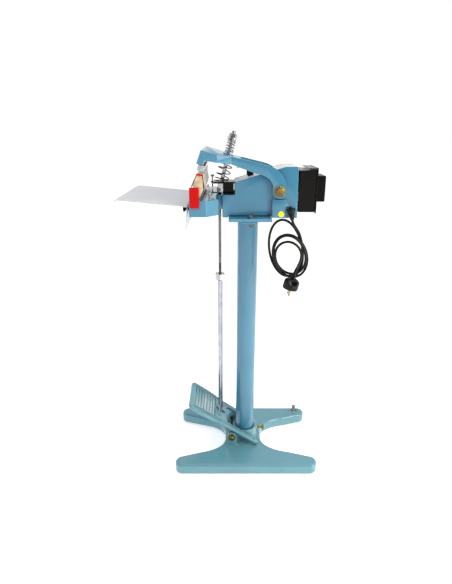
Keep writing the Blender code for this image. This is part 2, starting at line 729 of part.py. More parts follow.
def make_upper_jaw():
    bar_section = ((-0.0082, 0.0015), (-0.0055, 0.0015), (-0.0055, 0.0030), (0.0055, 0.0030))
    bar_section += ((0.0055, 0.0015), (0.0082, 0.0015), (0.0082, 0.0165), (-0.0082, 0.0165))
    bar = prism(
        "upper_jaw_bar", [upper(a, u) for a, u in bar_section], -JAW_HALF_Y, JAW_HALF_Y, "XZ", "aluminium"
    )
    cut(bar, leg_room())
    strip_section = ((-0.0050, 0.0005), (0.0050, 0.0005), (0.0050, 0.0026), (-0.0050, 0.0026))
    strip = prism(
        "silicone_strip", [upper(a, u) for a, u in strip_section], -STRIP_HALF_Y, STRIP_HALF_Y,
        "XZ", "silicone",
    )
    return [bar, strip]


def leg_room():
    """The space that the arm's front leg and its clearance take from the jaw bar."""
    outline = [(-0.1310, 0.8993), (-0.1310, 0.9300), (-0.1000, 0.9300), (-0.1000, 0.8907)]
    outline = [(x, z - 0.0010) for x, z in outline]
    return prism("leg_room", outline, -0.2, 0.2)


def make_arm_pivot():
    x, z = PIVOT
    fastener(
        "arm_pivot_bolt", (x, -ARM_OUTER_Y - GAP, z), (0, 1, 0), "yellow_zinc", PIVOT_RADIUS, 0.1450,
        head=(0.0105, 0.0062), washer=(0.0140, 0.0020),
    )
    nut = cylinder("arm_pivot_nut", (x, ARM_OUTER_Y + GAP, z), (x, ARM_OUTER_Y + 0.0085, z), 0.0105, "yellow_zinc", 6)
    washer = cylinder("pivot_washer", (x, ARM_OUTER_Y + GAP, z), (x, ARM_OUTER_Y + 0.0024, z), 0.0140)
    join(nut, washer)
    cut(nut, cylinder("nut_bore", (x, 0.05, z), (x, 0.09, z), PIVOT_RADIUS + GAP, sides=SMALL_SIDES))


def make_jaw_screw(side, where):
    """A cheese-head screw through the arm's front leg into the jaw bar."""
    y = side * 0.140
    return cylinder(f"jaw_screw_{where}", (-0.1108, y, 0.8975), (-0.1068, y, 0.8964), 0.0042, "spring_steel", 12)


def make_pressure_set():
    """The bolt with its clevis, the pressure spring, washer and adjusting nut."""
    bolt = cylinder("pressure_bolt", bolt_point(0.006), bolt_point(BOLT_LENGTH), BOLT_RADIUS, "chrome", 16)
    cheeks = []
    for side in (-1, 1):
        low_y, high_y = sorted((side * 0.0046, side * 0.0085))
        outline = arc(PIN, 0.0080, 180 - degrees_of(BOLT_TILT), 360 - degrees_of(BOLT_TILT), 8)
        top = bolt_point(0.016)
        outline += [(top[0] + 0.0078, top[2]), (top[0] - 0.0078, top[2])]
        cheeks.append(prism(f"cheek_{side}", outline, low_y, high_y))
    block = cylinder("clevis_block", bolt_point(0.0105), bolt_point(0.020), 0.0085, sides=16)
    join(bolt, block, *cheeks)
    slot = box("clevis_slot", (PIN[0] - 0.02, -0.0046, PIN[1] - 0.02), (PIN[0] + 0.02, 0.0046, PIN[1] + 0.0095))
    eye = cylinder("clevis_eye", (PIN[0], -0.02, PIN[1]), (PIN[0], 0.02, PIN[1]), 0.0030 + GAP, sides=12)
    cut(bolt, slot, eye)
    pin = cylinder("clevis_pin", (PIN[0], -0.0105, PIN[1]), (PIN[0], 0.0105, PIN[1]), 0.0030, "steel", 12)
    seat, top = 0.0948, 0.1330
    coil = spring(
        "pressure_spring", bolt_point(seat + 0.0018), bolt_point(top - 0.0018), 0.0105, 0.0015, 6.5, "chrome"
    )
    washer = cylinder("spring_washer", bolt_point(top), bolt_point(top + 0.0020), 0.0135, "chrome")
    cut(washer, cylinder("washer_hole", bolt_point(0.12), bolt_point(0.15), BOLT_RADIUS + GAP, sides=16))
    nut = cylinder("adjusting_nut", bolt_point(top + 0.0024), bolt_point(top + 0.0125), 0.0100, "chrome", 6)
    cut(nut, cylinder("nut_thread", bolt_point(0.12), bolt_point(0.16), BOLT_RADIUS + GAP, sides=16))
    return bolt, pin, coil, washer, nut


def degrees_of(angle):
    return angle * 180 / pi


def make_return_spring():
    spring("return_spring", bolt_point(0.0256, -0.001), bolt_point(0.0690), 0.0175, 0.0013, 3.5, "spring_steel")


# ---------------------------------------------------------------- treadle rod and pedal


def make_treadle():
    """The long rod: its eye between the clevis cheeks, the collar nut, the tube and the hook at the pedal."""
    x = PIN[0]
    rod = cylinder("treadle_rod", (x, 0, 0.540), (x, 0, PIN[1] - 0.003), ROD_RADIUS, "steel", 14)
    eye = cylinder("rod_eye", (x, -0.0040, PIN[1]), (x, 0.0040, PIN[1]), 0.0070, sides=16)
    join(rod, eye)
    cut(rod, cylinder("rod_eye_hole", (x, -0.02, PIN[1]), (x, 0.02, PIN[1]), 0.0030 + GAP, sides=12))
    nut = cylinder("rod_collar_nut", (x, 0, NUT_BOTTOM), (x, 0, NUT_TOP), 0.0152, "chrome", 6)
    bevel(nut, 0.0008, 1)
    cut(nut, cylinder("collar_bore", (x, 0, 0.5), (x, 0, 0.6), ROD_RADIUS + GAP, sides=14))
    sleeve = cylinder("treadle_tube", (x, 0, TUBE_BOTTOM), (x, 0, TUBE_TOP), TUBE_RADIUS, "chrome", 16)
    stem = cylinder("hook_stem", (x, 0, PEDAL_HOOK[1] + 0.006), (x, 0, TUBE_BOTTOM + 0.01), 0.0045, sides=12)
    ring = cylinder(
        "hook_ring", (x, -0.0040, PEDAL_HOOK[1]), (x, 0.0040, PEDAL_HOOK[1]), 0.0105, sides=16
    )
    join(sleeve, stem, ring)
    hole = cylinder("hook_hole", (x, -0.02, PEDAL_HOOK[1]), (x, 0.02, PEDAL_HOOK[1]), 0.0062, sides=16)
    bore = cylinder("tube_bore", (x, 0, 0.530), (x, 0, 0.6), ROD_RADIUS + GAP, sides=14)
    cut(sleeve, hole, bore)
    return [rod, nut, sleeve]


def pedal_length():
    return hypot(PEDAL_REAR[0] - PEDAL_TOE[0], PEDAL_TOE[1] - PEDAL_REAR[1])


def pedal_place():
    """From the pedal's own plan (along it from the toe, across, above its top face) to the world."""
    slope = asin((PEDAL_TOE[1] - PEDAL_REAR[1]) / pedal_length())
    return Matrix.Translation((PEDAL_TOE[0], 0, PEDAL_TOE[1])) @ Matrix.Rotation(slope, 4, "Y")


def pedal_outline():
    """The pedal in plan: a rounded pad that forks round the column."""
    end = pedal_length()
    corner = 0.016
    tip = (PEDAL_ARM_Y - FORK_INNER_Y) / 2
    half = arc((corner, PEDAL_HALF_Y - corner), corner, 180, 90, 6)
    half += bend((0.045, PEDAL_HALF_Y), (0.080, PEDAL_HALF_Y - 0.0015), (0.100, 0.0655), 3)
    half += bend((0.112, 0.0625), (0.125, PEDAL_ARM_Y), (0.150, PEDAL_ARM_Y), 3)
    half += arc((end - tip, PEDAL_ARM_Y - tip), tip, 90, -90, 8)
    half += [(0.165, FORK_INNER_Y)] + bend((0.150, FORK_INNER_Y), (0.136, FORK_INNER_Y), (0.132, 0.020), 4)
    return half + [(x, -y) for x, y in reversed(half)]


def make_pedal():
    pedal = prism("pedal", pedal_outline(), -PEDAL_THICK, 0, "XY", "blue_paint")
    bevel(pedal, 0.002, 2, 50)
    ribs = [
        box(f"rib_{i}", (0.014 + 0.0105 * i, -0.050, -0.001), (0.018 + 0.0105 * i, 0.050, 0.0012))
        for i in range(8)
    ]
    edge = [
        box(f"edge_rib_{side}_{i}", (0.014, side * (0.0545 + 0.0048 * i) - 0.0012, -0.001),
            (0.118, side * (0.0545 + 0.0048 * i) + 0.0012, 0.0012))
        for side in (-1, 1) for i in range(2)
    ]
    place = pedal_place()
    for helper in ribs + edge:
        helper.matrix_world = place
    pedal.matrix_world = place
    join(pedal, *ribs, *edge, *pivot_lugs(), *hook_lugs())
    slot = box("rod_slot", (0.095, -0.0085, -0.04), (0.129, 0.0085, 0.02))
    slot.matrix_world = place
    x, z = PEDAL_PIVOT
    bore = cylinder("pedal_bore", (x, -0.07, z), (x, 0.07, z), 0.0050 + GAP, sides=12)
    hx, hz = PEDAL_HOOK
    cross = cylinder("hook_cross_hole", (hx, -0.03, hz), (hx, 0.03, hz), 0.0035 + GAP, sides=12)
    arm_holes = []
    for side in (-1, 1):
        hole = cylinder(f"arm_hole_{side}", (0.240, side * 0.0535, -0.03), (0.240, side * 0.0535, 0.02), 0.0030,
                        sides=12)
        hole.matrix_world = place
        arm_holes.append(hole)
    cut(pedal, slot, bore, cross, *arm_holes)
    pin = cylinder("pedal_hook_pin", (hx, -0.0180, hz), (hx, 0.0180, hz), 0.0035, "steel", 12)
    return [pedal, pin]


def pivot_lugs():
    """Two lugs under the pedal that turn on the pivot bolt, just inside the base's ears."""
    x, z = PEDAL_PIVOT
    outline = arc((x, z), 0.0110, 180, 340, 8) + [(x + 0.028, 0.070), (x - 0.008, 0.098)]
    lugs = []
    for side in (-1, 1):
        low_y, high_y = sorted((side * 0.0425, side * 0.0492))
        lugs.append(prism(f"pivot_lug_{side}", outline, low_y, high_y))
    return lugs


def hook_lugs():
    """Two small lugs under the pad that carry the pin for the rod's hook."""
    x, z = PEDAL_HOOK
    outline = arc((x, z), 0.0080, 160, 360, 8) + [(x + 0.012, 0.112), (x - 0.012, 0.130)]
    lugs = []
    for side in (-1, 1):
        low_y, high_y = sorted((side * 0.0095, side * 0.0150))
        lugs.append(prism(f"hook_lug_{side}", outline, low_y, high_y))
    return lugs


# ---------------------------------------------------------------- electrics and rear boxes


def make_rear():
    box_part = box(
        "control_box", (BOX_FRONT_X, -BOX_HALF_Y, BOX_BOTTOM), (BOX_REAR_X, BOX_HALF_Y, BOX_TOP), "black_paint"
    )
    bevel(box_part, 0.0015, 1)
    room = box("control_room", (BOX_FRONT_X - 0.01, -0.050, BOX_BOTTOM + 0.002), (BOX_REAR_X + 0.01, 0.050, 0.873))
    knob_hole = cylinder("knob_hole", (0.1500, 0.04, 0.852), (0.1500, 0.06, 0.852), 0.0040, sides=12)
    lamp_hole = cylinder("lamp_hole", (0.1500, 0.04, 0.822), (0.1500, 0.06, 0.822), 0.0045, sides=12)
    switch_hole = box("switch_hole", (0.1430, 0.04, 0.7845), (0.1570, 0.06, 0.8075))
    cut(box_part, room, knob_hole, lamp_hole, switch_hole)
    back = box("control_box_back", (BOX_REAR_X + GAP, -0.054, 0.766), (0.1748, 0.054, 0.881), "black_paint")
    lip = box("back_lip", (0.1500, -0.054, 0.8785), (0.1740, 0.054, 0.8805))
    join(back, lip)
    housing = box("timer_housing", (0.1752, -0.034, 0.793), (0.2000, 0.034, 0.860), "black_plastic")
    bevel(housing, 0.003, 2)
    cut(housing, box("housing_room", (0.17, -0.031, 0.796), (0.197, 0.031, 0.857)))
    box("timer_board", (0.1772, -0.028, 0.799), (0.1788, 0.028, 0.854), "insulator")
    make_transformer()
    make_controls()


def make_transformer():
    core = box("transformer", (0.0000, -0.030, HEAD_FLOOR_Z + GAP), (0.0450, 0.030, 0.8180), "steel")
    bevel(core, 0.001, 1)
    coil = box("transformer_coil", (-0.0080, -0.020, 0.7760), (0.0530, 0.020, 0.8080))
    bevel(coil, 0.004, 1)
    join(core, coil)


def make_controls():
    profile = [(0, 0.0180), (0.0085, 0.0180), (0.0095, 0.0165), (0.0110, 0.0020), (0.0110, 0.0005)]
    profile += [(0.0035, 0.0005), (0.0035, -0.0080), (0, -0.0080)]
    knob = lathe("timer_knob", profile, (0.1500, 0.0520, 0.852), (0, 1, 0), "black_plastic", 20)
    axis_empty("timer_knob_axis", (0.1500, 0.0520, 0.852), [knob])
    rocker_outline = [(0.7855, 0.0495), (0.8065, 0.0495), (0.8065, 0.0540), (0.7960, 0.0550), (0.7855, 0.0575)]
    rocker = prism("power_switch", [(y, z) for z, y in rocker_outline], -0.0065, 0.0065, "XZ", "black_plastic")
    rocker.data.transform(Matrix.Translation((0.1500, 0, 0)) @ Matrix.Rotation(pi / 2, 4, "Z"))
    bevel(rocker, 0.0006, 1)
    axis_empty("power_switch_axis", (0.1500, 0.0520, 0.7960), [rocker])
    lamp = [(0, 0.0060), (0.0030, 0.0052), (0.0050, 0.0035), (0.0055, 0.0005), (0.0040, 0.0005)]
    lamp += [(0.0040, -0.0060), (0, -0.0060)]
    lathe("pilot_lamp", lamp, (0.1500, 0.0520, 0.822), (0, 1, 0), "lamp_red", 16)


def make_microswitch():
    """The switch that starts the heating, on the cover under the arm, with its roller lever."""
    body = box("microswitch_body", (-0.0060, -0.0180, 0.8600), (0.0120, -0.0080, 0.8740), "black_plastic")
    leg = box("switch_leg", (-0.0030, -0.0160, 0.8560), (0.0100, -0.0100, 0.8620))
    slope_cut = prism("switch_foot_cut", [(-0.05, 0.8430), (0.05, 0.8722), (0.05, 0.80), (-0.05, 0.80)], -0.1, 0.1)
    join(body, leg)
    cut(body, slope_cut)
    lever = prism(
        "microswitch_lever", [(0.0100, 0.8745), (0.0100, 0.8755), (-0.0290, 0.8805), (-0.0290, 0.8795)],
        -0.0155, -0.0105, "XZ", "chrome",
    )
    roller = cylinder("lever_roller", (-0.0290, -0.0165, 0.8800), (-0.0290, -0.0095, 0.8800), 0.0030, sides=12)
    join(lever, roller)
    axis_empty("microswitch_lever_axis", (0.0100, -0.0130, 0.8749), [lever])


# ---------------------------------------------------------------- mains lead


def make_lead():
    """The strain relief, one solid round the lead's hanging turns, its last stretch and the plug."""
    x, y, z = CORD_EXIT
    relief = cylinder("strain_relief", (x - 0.005, y, 0.7805), (x, y, z), 0.0110, "rubber", 16, 0.0050)
    nipple = cylinder("relief_nipple", (x - 0.004, y, 0.778), (x - 0.004, -0.0492, 0.778), 0.0055, sides=12)
    join(relief, nipple)
    ring = prism("cord_coil", oval(COIL_HALF_X, COIL_HALF_Z, 28), *COIL_SPAN_Y, "XZ", "rubber")
    cut(ring, prism("coil_eye", oval(COIL_HALF_X - 0.030, COIL_HALF_Z - 0.048, 20), -0.2, 0.0))
    tube("cord_tail", tail_route(), CORD_RADIUS, "rubber", 2)
    make_plug()


def oval(half_x, half_z, count):
    angles = [2 * pi * i / count for i in range(count)]
    return [(COIL_CENTRE[0] + half_x * cos(a), COIL_CENTRE[1] + half_z * sin(a)) for a in angles]


def tail_route():
    """From the front of the turns, down and forward into the plug's neck."""
    neck, way = Vector(PLUG_NECK), Vector(PLUG_WAY).normalized()
    start_at = Vector(TAIL_START)
    end_at = neck + way * GAP
    pulls = (start_at, start_at + Vector((0, -0.004, -0.018)), end_at + way * 0.020, end_at)
    steps = 6
    points = []
    for i in range(steps + 1):
        t = i / steps
        weights = ((1 - t) ** 3, 3 * t * (1 - t) ** 2, 3 * t * t * (1 - t), t**3)
        points.append(tuple(sum((pull * w for pull, w in zip(pulls, weights)), Vector())))
    return points


def make_plug():
    """A moulded two-pin plug that hangs in front of the turns with its pins down."""
    body = [(0, 0), (0.0048, 0), (0.0062, -0.0100), (0.0140, -0.0150), (0.0195, -0.0220), (0.0205, -0.0300)]
    body += [(0.0205, -0.0440), (0.0195, -0.0455), (0, -0.0455)]
    plug = lathe("plug_body", body, PLUG_NECK, PLUG_WAY, "rubber", 18)
    neck, way = Vector(PLUG_NECK), Vector(PLUG_WAY).normalized()
    pins = []
    for side in (-1, 1):
        across = Vector((0, side * 0.0095, 0))
        top = neck - way * 0.040 + across
        pins.append(cylinder(f"plug_pin_{side}", top, neck - way * 0.0640 + across, 0.0024, sides=10))
    join(plug, *pins)


def main():
    start()
    make_base()
    make_column()
    make_base_fasteners()
    make_support()
    make_head()
    make_cover()
    make_spring_bridge()
    make_beam()
    make_lower_jaw()
    make_table()
    arm = make_arm()
    jaw = make_upper_jaw()
    screws = [make_jaw_screw(side, where) for side, where in ((-1, "near"), (1, "far"))]
    make_arm_pivot()
    bolt, pin, coil, washer, nut = make_pressure_set()
    axis_empty("arm_hinge_axis", (PIVOT[0], 0, PIVOT[1]), [arm, coil, *jaw, *screws])
    axis_empty("adjusting_nut_axis", bolt_point(0.1354), [nut])
    axis_empty("pressure_bolt_axis", bolt_point(0.0), [bolt, pin, washer])
    make_return_spring()
    axis_empty("rod_hinge_axis", (PIN[0], 0, PIN[1]), make_treadle())
    axis_empty("pedal_hinge_axis", (PEDAL_PIVOT[0], 0, PEDAL_PIVOT[1]), make_pedal())
    make_rear()
    make_microswitch()
    make_lead()


main()
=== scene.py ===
"""Looks for the foot-operated impulse heat sealer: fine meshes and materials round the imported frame.

Metres, +Z up, origin on the floor under the column's axis, -X towards the operator, jaws along Y.
"""

import json
from math import atan2, cos, hypot, pi, radians, sin, sqrt

import bmesh
import bpy
from mathutils import Matrix, Vector


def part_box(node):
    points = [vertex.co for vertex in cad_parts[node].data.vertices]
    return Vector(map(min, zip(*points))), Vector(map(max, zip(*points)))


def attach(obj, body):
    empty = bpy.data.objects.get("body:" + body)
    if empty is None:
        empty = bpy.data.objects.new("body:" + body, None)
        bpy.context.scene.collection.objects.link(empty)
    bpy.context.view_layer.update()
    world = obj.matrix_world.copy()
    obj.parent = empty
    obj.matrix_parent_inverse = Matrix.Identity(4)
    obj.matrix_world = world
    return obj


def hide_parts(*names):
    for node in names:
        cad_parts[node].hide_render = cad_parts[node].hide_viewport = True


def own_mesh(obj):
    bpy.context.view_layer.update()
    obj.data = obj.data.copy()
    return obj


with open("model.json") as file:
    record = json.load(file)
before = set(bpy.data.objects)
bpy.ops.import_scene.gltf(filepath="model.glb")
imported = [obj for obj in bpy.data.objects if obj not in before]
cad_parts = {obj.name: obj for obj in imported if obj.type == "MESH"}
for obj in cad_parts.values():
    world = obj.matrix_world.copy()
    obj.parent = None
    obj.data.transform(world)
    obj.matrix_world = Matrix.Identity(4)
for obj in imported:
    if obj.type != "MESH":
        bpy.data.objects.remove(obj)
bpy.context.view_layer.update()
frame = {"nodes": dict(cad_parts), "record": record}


def middle(node):
    """The middle of a CAD node's box."""
    low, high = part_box(node)
    return (low + high) / 2


ALONG, NEAR, FAR, UP = (1, 0, 0), (0, -1, 0), (0, 1, 0), (0, 0, 1)

# Places that the frame gives
PIVOT = middle("arm_pivot_nut")
PIN = middle("clevis_pin")
PEDAL_PIVOT = middle("pedal_pivot_bolt")
PEDAL_HOOK = middle("pedal_hook_pin")
COLUMN_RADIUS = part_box("column_tube")[1].x

# Clearance between neighbours, and the radii of the bores round the pins and bolts
GAP = 0.0004
PIN_BORE = 0.0034
PIVOT_BORE = 0.0064
PEDAL_BORE = 0.0054

BOLT_TILT = 14.5
BOLT_WAY = Vector((sin(radians(BOLT_TILT)), 0, cos(radians(BOLT_TILT))))

# Mains lead: the route that part.py's coil, tail and plug solids hold
CORD_DIAMETER = 0.0066
CORD_EXIT = Vector((0.1120, -0.0672, 0.7515))
CORD_START_WAY = Vector((0.20, 0.0, -1.0))
CORD_START_ANGLE = 30
CORD_LAST_TURN = 305
TURN_STEPS = 24
# Each turn of the hanging coil: centre x and z, half width, half height, lean, and place in depth
TURNS = (
    (0.0985, 0.6745, 0.0448, 0.0765, 0.08, -0.0655),
    (0.0985, 0.6740, 0.0445, 0.0765, 0.14, -0.0592),
    (0.1125, 0.6535, 0.0462, 0.0585, 0.18, -0.0640),
    (0.1105, 0.6545, 0.0445, 0.0565, 0.18, -0.0709),
    (0.1055, 0.6570, 0.0350, 0.0390, 0.10, -0.0777),
    (0.1055, 0.6570, 0.0355, 0.0400, 0.08, -0.0835),
)
PLUG_NECK = Vector((0.1200, -0.1030, 0.6190))
PLUG_WAY = Vector((0.24, 0.0, 1.0)).normalized()
PLUG_PIN_Y = 0.0095

# How far a cutting tool reaches past the part
TOOL_REACH = 0.01

# ---------------------------------------------------------------- camera, light and floor

CAMERA_LENS = 27.62
CAMERA_AT = (-0.0601, -1.2251, 0.9700)
CAMERA_PITCH = 70.19
# Each softbox: name, place, what it aims at, size, power and colour
SOFTBOXES = (
    ("top_softbox", (0.1, -0.5, 2.7), (0, 0, 0.5), (2.0, 1.6), 17, (1.0, 1.0, 1.0)),
    ("right_softbox", (2.0, -1.5, 1.3), (0, 0, 0.6), (1.0, 2.2), 54, (1.0, 0.93, 0.78)),
    ("left_softbox", (-2.3, -1.3, 1.3), (0, 0, 0.6), (0.8, 2.0), 7, (1.0, 1.0, 1.0)),
)
RANGE_INPUTS = ("From Min", "From Max", "To Min", "To Max")
# The backdrop's light rises from .08 in front of the object (-Y) to .80 behind it (+Y)
BACKDROP_RANGE = (-0.75, 0.25, 0.08, 0.80)


def add_camera():
    camera = bpy.data.cameras.new("camera")
    camera.lens = CAMERA_LENS
    camera.sensor_width = 36
    holder = bpy.data.objects.new("camera", camera)
    holder.location = CAMERA_AT
    holder.rotation_euler = (radians(CAMERA_PITCH), 0, 0)
    bpy.context.scene.collection.objects.link(holder)
    bpy.context.scene.camera = holder


def area_light(name, place, target, size, power, colour):
    light = bpy.data.lights.new(name, "AREA")
    light.shape = "RECTANGLE"
    light.size, light.size_y = size
    light.energy = power
    light.color = colour
    holder = bpy.data.objects.new(name, light)
    holder.location = place
    holder.rotation_euler = (Vector(target) - Vector(place)).to_track_quat("-Z", "Y").to_euler()
    bpy.context.scene.collection.objects.link(holder)


def add_studio():
    scene = bpy.context.scene
    scene.view_settings.view_transform = "Standard"
    world = bpy.data.worlds.new("studio")
    scene.world = world
    world.use_nodes = True
    tree = world.node_tree
    background = tree.nodes["Background"]
    split = tree.nodes.new("ShaderNodeSeparateXYZ")
    tree.links.new(tree.nodes.new("ShaderNodeTexCoord").outputs["Generated"], split.inputs["Vector"])
    dim = tree.nodes.new("ShaderNodeMapRange")
    dim.interpolation_type = "SMOOTHSTEP"
    for key, value in zip(RANGE_INPUTS, BACKDROP_RANGE):
        dim.inputs[key].default_value = value
    tree.links.new(split.outputs["Y"], dim.inputs["Value"])
    seen = tree.nodes.new("ShaderNodeMath")
    seen.operation = "MAXIMUM"
    tree.links.new(dim.outputs["Result"], seen.inputs[0])
    tree.links.new(tree.nodes.new("ShaderNodeLightPath").outputs["Is Camera Ray"], seen.inputs[1])
    tree.links.new(seen.outputs[0], background.inputs["Strength"])
    background.inputs["Color"].default_value = (1.0, 1.0, 1.0, 1)
    for softbox in SOFTBOXES:
        area_light(*softbox)
    bm = bmesh.new()
    bmesh.ops.create_grid(bm, x_segments=1, y_segments=1, size=30)
    mesh = bpy.data.meshes.new("studio_floor")
    bm.to_mesh(mesh)
    bm.free()
    floor = bpy.data.objects.new("studio_floor", mesh)
    scene.collection.objects.link(floor)
    mesh.materials.append(finish("floor_paint", (0.93, 0.93, 0.93), 0.75, Specular_IOR_Level=0.2,
                                 Emission_Color=(1.0, 1.0, 1.0, 1.0), Emission_Strength=0.55).material)


# ---------------------------------------------------------------- materials


class Finish:
    """A Principled material with procedural detail, placed by the object's own coordinates."""

    def __init__(self, name, colour, roughness, metallic=0.0, **sockets):
        self.material = bpy.data.materials.new(name)
        self.material.use_nodes = True
        self.tree = self.material.node_tree
        self.shader = self.tree.nodes["Principled BSDF"]
        self.place = self.node("ShaderNodeTexCoord").outputs["Object"]
        self.bumps = None
        values = {"Base Color": (*colour, 1), "Roughness": roughness, "Metallic": metallic}
        for key, value in sockets.items():
            values[key.replace("_", " ")] = value
        for key, value in values.items():
            self.shader.inputs[key].default_value = value

    def node(self, kind, **settings):
        made = self.tree.nodes.new(kind)
        for key, value in settings.items():
            setattr(made, key, value)
        return made

    def join(self, source, socket):
        self.tree.links.new(source, socket)

    def noise(self, scale, detail=3, stretch=(1, 1, 1), distortion=0.0):
        way = self.place
        if stretch != (1, 1, 1):
            mapping = self.node("ShaderNodeMapping")
            mapping.inputs["Scale"].default_value = stretch
            self.join(way, mapping.inputs["Vector"])
            way = mapping.outputs["Vector"]
        made = self.node("ShaderNodeTexNoise")
        made.inputs["Scale"].default_value = scale
        made.inputs["Detail"].default_value = detail
        made.inputs["Distortion"].default_value = distortion
        self.join(way, made.inputs["Vector"])
        return made.outputs["Fac"]

    def ramp(self, factor, low, high, start=0.0, end=1.0):
        """A value that runs smoothly from start to end as factor runs from low to high."""
        made = self.node("ShaderNodeMapRange", interpolation_type="SMOOTHSTEP")
        for key, value in zip(RANGE_INPUTS, (low, high, start, end)):
            made.inputs[key].default_value = value
        self.join(factor, made.inputs["Value"])
        return made.outputs["Result"]

    def mix(self, factor, first, second):
        made = self.node("ShaderNodeMix", data_type="RGBA")
        self.join(factor, made.inputs["Factor"])
        for socket, value in ((made.inputs["A"], first), (made.inputs["B"], second)):
            if isinstance(value, tuple):
                socket.default_value = (*value, 1)
            else:
                self.join(value, socket)
        return made.outputs["Result"]

    def mottle(self, scale, detail, low, high, first, second, **pattern):
        """A colour that wanders between two tones."""
        return self.mix(self.ramp(self.noise(scale, detail, **pattern), low, high), first, second)

    def colour(self, source):
        self.join(source, self.shader.inputs["Base Color"])
        return self

    def roughness(self, factor, low, high, start, end):
        self.join(self.ramp(factor, low, high, start, end), self.shader.inputs["Roughness"])
        return self

    def bump(self, height, strength, distance=0.001):
        made = self.node("ShaderNodeBump")
        made.inputs["Strength"].default_value = strength
        made.inputs["Distance"].default_value = distance
        self.join(height, made.inputs["Height"])
        if self.bumps:
            self.join(self.bumps, made.inputs["Normal"])
        self.bumps = made.outputs["Normal"]
        self.join(self.bumps, self.shader.inputs["Normal"])
        return self

    def grain(self, scale, strength, distance, detail=2, stretch=(1, 1, 1)):
        return self.bump(self.noise(scale, detail, stretch), strength, distance)

    def edges(self, radius, low=0.02, high=0.25):
        """1 along convex edges within radius, 0 elsewhere."""
        rounded = self.node("ShaderNodeBevel", samples=4)
        rounded.inputs["Radius"].default_value = radius
        normal = self.node("ShaderNodeNewGeometry").outputs["Normal"]
        compare = self.node("ShaderNodeVectorMath", operation="DOT_PRODUCT")
        self.join(rounded.outputs["Normal"], compare.inputs[0])
        self.join(normal, compare.inputs[1])
        return self.ramp(compare.outputs["Value"], 1 - high, 1 - low, 1.0, 0.0)

    def painted_crease_shade(self, reach):
        """For painted shade: 0 deep in a crease or under a neighbour, 1 in the open."""
        made = self.node("ShaderNodeAmbientOcclusion", samples=6)
        made.inputs["Distance"].default_value = reach
        return made.outputs["AO"]


finishes = {}


def finish(name, colour, roughness, metallic=0.0, **sockets):
    finishes[name] = Finish(name, colour, roughness, metallic, **sockets)
    return finishes[name]


def enamel(name, colour, cast):
    """Glossy enamel, with painted shade in creases and under neighbours; over a casting it is slightly wavy and
    pitted.
    """
    made = finish(name, colour, 0.26, Specular_IOR_Level=0.34, Coat_Weight=0.7, Coat_Roughness=0.07)
    deep = tuple(c * 0.94 for c in colour)
    pale = tuple(min(1, c * 1.04 + 0.003) for c in colour)
    tone = made.mottle(9, 2, 0.3, 0.7, deep, pale)
    specks = made.ramp(made.noise(480, 2), 0.69, 0.76)
    tone = made.mix(made.ramp(specks, 0, 1, 0, 0.30), tone, tuple(c * 0.5 for c in colour))
    # Painted shade: the colour darkens towards 0.22 of the enamel's in creases, hollows and under neighbouring parts,
    # where shade falls
    painted_crease_shade = made.ramp(made.painted_crease_shade(0.006), 0.25, 0.95, 0.85, 0.0)
    made.colour(made.mix(painted_crease_shade, tone, tuple(c * 0.22 for c in colour)))
    made.roughness(made.noise(60, 4), 0.35, 0.7, 0.16, 0.24)
    made.grain(900, 0.05 if cast else 0.03, 0.0005)
    made.grain(70 if cast else 40, 0.025 if cast else 0.012, 0.0010)


def bright_metal(name, colour, roughness, stretch=(1, 1, 1), tint=None):
    """Plated or bright steel with fine drawn scratches and faint stains."""
    made = finish(name, colour, roughness, 1.0)
    other = tint or tuple(c * 0.72 for c in colour)
    made.colour(made.mottle(45, 4, 0.38, 0.66, other, colour, distortion=0.6))
    made.roughness(made.noise(300, 3, stretch), 0.3, 0.75, roughness * 0.7, roughness * 1.6)
    made.grain(700, 0.05, 0.0004, stretch=stretch)


def moulded(name, colour, roughness, grain=900, **sockets):
    """Moulded plastic or rubber: fine grain, uneven gloss and a little dust."""
    made = finish(name, colour, roughness, **sockets)
    dusty = tuple(c * 0.9 + 0.004 for c in colour)
    made.colour(made.mix(made.ramp(made.noise(70, 4), 0.55, 0.85, 0, 0.6), colour, dusty))
    made.roughness(made.noise(160, 3), 0.3, 0.7, roughness * 0.8, min(1, roughness * 1.2))
    made.grain(grain, 0.12, 0.0005)


BLUE = (0.070, 0.252, 0.395)
# The enamel of the iron castings against the steel column's, for each channel: lightened and greened as painted
# light, for the light on the base's and pedal's top faces; the aluminium castings' enamel is a little darker and
# bluer
LIT_IRON_TINT = (1.95, 1.38, 1.10)
ALU_TINT = (0.92, 0.97, 1.0)


